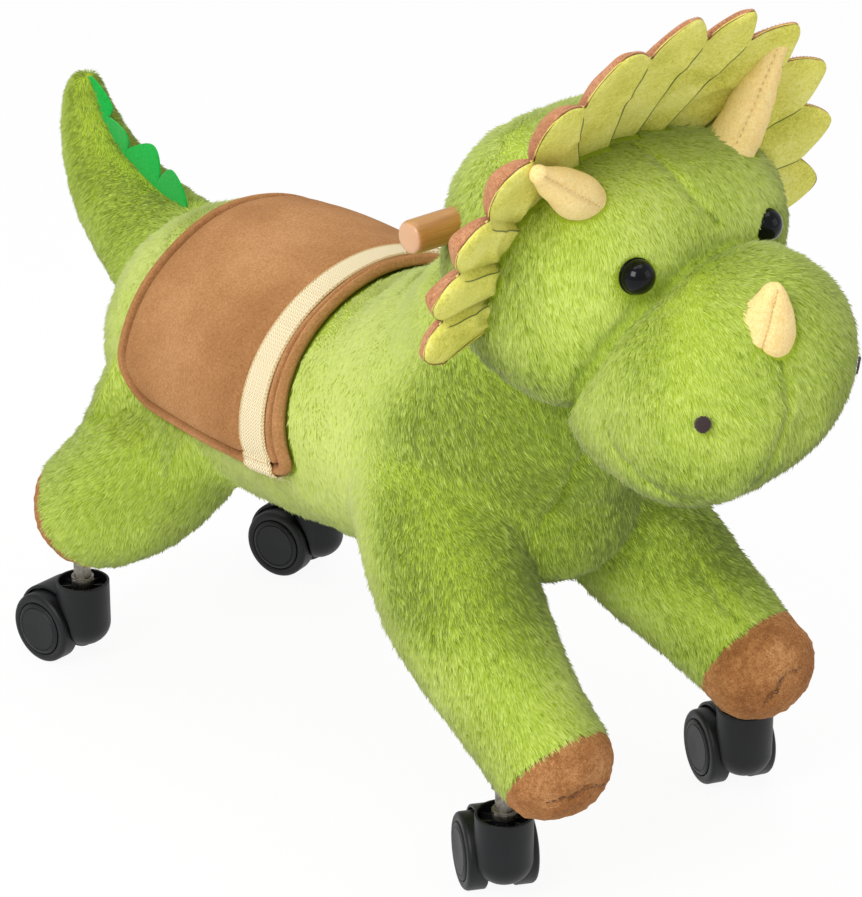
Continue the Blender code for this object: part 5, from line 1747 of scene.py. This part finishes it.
def surface_near(skin, place):
    """The nearest point of a skin to a place, and the way it faces there."""
    tree = tree_of(skin)
    spot, normal, _, _ = tree.find_nearest(Vector(place))
    return np.array(spot), np.array(normal)


def node_middle(node):
    """The middle of a CAD node's box."""
    low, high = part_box(node)
    return (low + high) / 2


# Seams of the plush, from the middle between the casters: the line, how far the pile lies shorter and
# darkened with painted shade beside it, and the width and depth of the furrow in the skin
SMILE = ((-0.0860, -0.2700, 0.3400), (-0.0846, -0.2740, 0.3280), (-0.0831, -0.2860, 0.3170),
         (-0.0746, -0.3005, 0.3048), (-0.0672, -0.3073, 0.2985), (-0.0560, -0.3150, 0.2920))
HEAD_SEAMS = [
    (((-0.0130, -0.3440, 0.3860), (-0.0120, -0.3547, 0.3656), (-0.0116, -0.3591, 0.3512),
      (-0.0122, -0.3594, 0.3407), (-0.0149, -0.3572, 0.3249), (-0.0168, -0.3531, 0.3145),
      (-0.0120, -0.3400, 0.2880)), 0.0018, 0.0030, 0.0026),
    (((-0.0090, -0.2150, 0.4800), (-0.0076, -0.2317, 0.4764), (-0.0060, -0.2488, 0.4670),
      (0.0002, -0.2621, 0.4543), (0.0108, -0.2694, 0.4406)), 0.0020, 0.0032, 0.0030),
    (SMILE, 0.0020, 0.0040, 0.0030),
    (tuple((-x, y, z) for x, y, z in SMILE), 0.0020, 0.0040, 0.0030),
]
BODY_SEAMS = [
    (((-0.0180, -0.2100, 0.3050), (-0.0283, -0.2068, 0.2876), (-0.0349, -0.1948, 0.2621),
      (-0.0373, -0.1773, 0.2310), (-0.0500, -0.1800, 0.2177)), 0.0020, 0.0036, 0.0034),
    (((0.0654, -0.1996, 0.1797), (0.0615, -0.2153, 0.1754), (0.0623, -0.2310, 0.1655),
      (0.0685, -0.2422, 0.1522)), 0.0020, 0.0034, 0.0034),
    (((0.0, -0.060, 0.160), (0.0, 0.060, 0.140), (0.0, 0.150, 0.142), (0.0, 0.215, 0.165)),
     0.0020, 0.0040, 0.0034),
]
TOE_SEAMS = {
    "right": ((-0.1190, -0.2690, 0.0929), (-0.1124, -0.2761, 0.0920), (-0.1046, -0.2810, 0.0919),
              (-0.0976, -0.2840, 0.0967), (-0.0860, -0.2849, 0.0970), (-0.0669, -0.2764, 0.0892)),
    "left": ((0.0952, -0.2828, 0.1185), (0.0855, -0.2835, 0.1165), (0.0771, -0.2822, 0.1139),
             (0.0728, -0.2815, 0.1059), (0.0682, -0.2784, 0.0991), (0.0646, -0.2735, 0.0927)),
}
# The hollow down the middle of the muzzle, and soft swellings over the eyes and on the cheeks
MUZZLE_VALLEY = ((0.0, -0.262, 0.412), (0.0, -0.300, 0.398), (0.0, -0.334, 0.372),
                 (0.0, -0.356, 0.340), (0.0, -0.356, 0.300), (0.0, -0.325, 0.272))
BROW_SWELLING = ((0.060, -0.235, 0.452), 0.030, 0.003)
CHEEK_SWELLING = ((0.062, -0.318, 0.356), 0.036, 0.003)
# Horns: the name, base and tip, radius, roundness of the tip, the seam's place round it in degrees, and
# its width along it
HORNS = {
    "brow_horn_right": (
        "horn_right", (-0.0630, -0.2400, 0.4590), (-0.1140, -0.2520, 0.4930), 0.0142, 0.40, -98,
        ((-0.35, 0.62), (0.0, 0.94), (0.25, 1.0), (0.60, 0.74), (0.85, 0.46), (1.03, 0.36))),
    "brow_horn_left": (
        "horn_left", (0.0610, -0.2370, 0.4650), (0.0760, -0.2590, 0.5330), 0.0143, 0.40, -138,
        ((-0.35, 0.98), (0.0, 1.08), (0.25, 1.0), (0.60, 0.74), (0.85, 0.47), (1.0, 0.35))),
    "nose_horn": (
        "horn_nose", (-0.0085, -0.3290, 0.3790), (-0.0035, -0.3390, 0.4210), 0.0198, 0.34, -137,
        ((-0.30, 0.60), (0.0, 0.90), (0.25, 1.0), (0.55, 0.82), (0.80, 0.50), (1.03, 0.26))),
}
# Each side's eye and how far it stands out, and the seed of the nostril's stitches
FACE_SIDES = (("right", (-0.0565, -0.2740, 0.4218), 0.0040, 39),
              ("left", (0.0600, -0.2680, 0.4218), -0.0022, 41))
EYE_CLEARING = 0.0115
# The pile below this height grows through the girth, as it does in the photo
STRAP_COVER_LEVEL = 0.220


def upper_part(piece, level):
    """A copy of a piece without what lies below a level."""
    copy = piece.copy()
    copy.data = piece.data.copy()
    shape = bmesh.new()
    shape.from_mesh(copy.data)
    low = [vert for vert in shape.verts if vert.co.z < level]
    bmesh.ops.delete(shape, geom=low, context="VERTS")
    shape.to_mesh(copy.data)
    shape.free()
    return copy


def make_plush():
    """The animal: skins, saddle, frill, horns, eyes, paws and crest, then the pile round them."""
    shift = np.array(ORIGIN_SHIFT)
    body = body_skin()
    head = head_skin()
    tail = tail_skin()

    furrow(head, np.array(MUZZLE_VALLEY) + shift, 0.020, 0.0035)
    for side in (-1, 1):
        for (x, y, z), reach, height in (BROW_SWELLING, CHEEK_SWELLING):
            swell(head, (side * x, y + shift[1], z), reach, height)
    crease = settled(muzzle_crease(), head)
    head_seams = [(crease, 0.0036)]
    furrow(head, crease, 0.0060, 0.0046)
    body_seams = []
    for skin, seams, found in ((head, HEAD_SEAMS, head_seams), (body, BODY_SEAMS, body_seams)):
        for line, reach, width, depth in seams:
            line = settled(np.array(line) + shift, skin)
            found.append((line, reach))
            furrow(skin, line, width, depth)

    saddle = Saddle()
    press_under(body, saddle)
    pad = saddle_piece(saddle)
    groove_stitches = pad_stitches(saddle)
    band, stitches = strap_pieces(saddle)
    upper_band = upper_part(band, STRAP_COVER_LEVEL)
    frill_front, frill_back = frill_piece(True), frill_piece(False)

    horns = {node: horn_piece(*row) for node, row in HORNS.items()}
    eyes, nostrils, bare = {}, {}, []
    for side, middle, height, seed in FACE_SIDES:
        spot, outward = surface_near(head, np.array(middle) + shift)
        eyes[side] = eye_piece(f"eye_dome_{side}", Vector(spot + outward * height), outward)
        bare.append((spot, EYE_CLEARING))
        spot, outward = surface_near(head, node_middle(f"nostril_{side}"))
        centre = spot + outward * 0.0040 + np.array([0.0, 0.0, 0.0035])
        nostrils[side] = nostril_piece(f"nostril_stitching_{side}", centre, outward, seed)

    handle = handle_piece()
    crest = crest_piece(Form(TAIL, TAIL_CAPS))
    paws, toe_stitches = {}, []
    for corner, stations in LEGS.items():
        end, hand = corner.split("_")
        paws[corner] = paw_piece(f"{corner}_toe", stations, PAW_PLANES[corner])
        if end == "front":
            toe_stitches.append(toe_seam(f"{hand}_toe_stitches", paws[corner], TOE_SEAMS[hand]))

    head_covers = [frill_front, frill_back, handle] + [horn for horn, _ in horns.values()]
    head_covers += list(eyes.values()) + list(nostrils.values())
    body_covers = [pad, upper_band, handle, frill_back]
    strands = pile("body_pile", body, body_comb, body_painted_shade, 11, body_covers, [head, tail], body_seams)
    bpy.data.objects.remove(upper_band)
    strands += pile("head_pile", head, head_comb, head_painted_shade, 31, head_covers, [body], head_seams, bare)
    strands += pile("tail_pile", tail, tail_comb, tail_painted_shade, 51, [crest], [body], length=0.0054)

    dress(body, FUR_GROUND, "root", ["torso"] + [f"{corner}_leg" for corner in LEGS])
    dress(head, FUR_GROUND, "root", ["head", "muzzle"])
    dress(tail, FUR_GROUND, "root", ["tail"])
    for piece in strands:
        dress(piece, FUR_STRANDS)
    dress(pad, SADDLE_SUEDE, "root", ["saddle_pad"])
    dress(band, STRAP_WEBBING, "root", ["girth_strap"])
    dress(stitches, CREAM_THREAD)
    # Stitches in the pad's groove, wide and dark so that they also paint the groove's shade
    dress(groove_stitches, BROWN_THREAD_AND_SHADOW)
    # Painted shadow lines of the nap along the frill's rim
    dress(frill_rim_shadow_strokes(), BROWN_THREAD_AND_SHADOW)
    # Painted shadow lines in the frill's tucks
    dress(frill_fold_shadows(), FOLD_SHADOW_LINES)
    dress(frill_front, FRILL_FRONT, "root", ["frill_front"])
    dress(frill_back, FRILL_BACK, "root", ["frill_back"])
    for node, (horn, seam) in horns.items():
        dress(horn, HORN_PLUSH, "root", [node])
        dress(seam, CREAM_THREAD)
    for side in ("right", "left"):
        dress(eyes[side], EYE_BLACK, "root", [f"eye_{side}"])
        dress(nostrils[side], DARK_THREAD, "root", [f"nostril_{side}"])
    dress(handle, HANDLE_WOOD, "root", ["handle_bar"])
    dress(crest, CREST_FELT, "root", ["tail_crest"])
    for piece in toe_stitches:
        dress(piece, BROWN_THREAD_AND_SHADOW)
    for corner, paw in paws.items():
        dress(paw, PAW_VELOUR, "root", [f"{corner}_paw"])


def finish_inner_nodes():
    """Materials of the frame inside the body and the axles, which stay as the CAD has them."""
    finishes = {"front_hoop": STEM_STEEL, "rear_hoop": STEM_STEEL, "seat_board": BOARD_PLY,
                "neck_post": HANDLE_WOOD}
    finishes.update({f"{corner}_axle": STEM_STEEL for corner in SWIVEL_ANGLES})
    for node, finish in finishes.items():
        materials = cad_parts[node].data.materials
        materials.clear()
        materials.append(finish)


set_stage()
make_plush()
make_casters()
finish_inner_nodes()
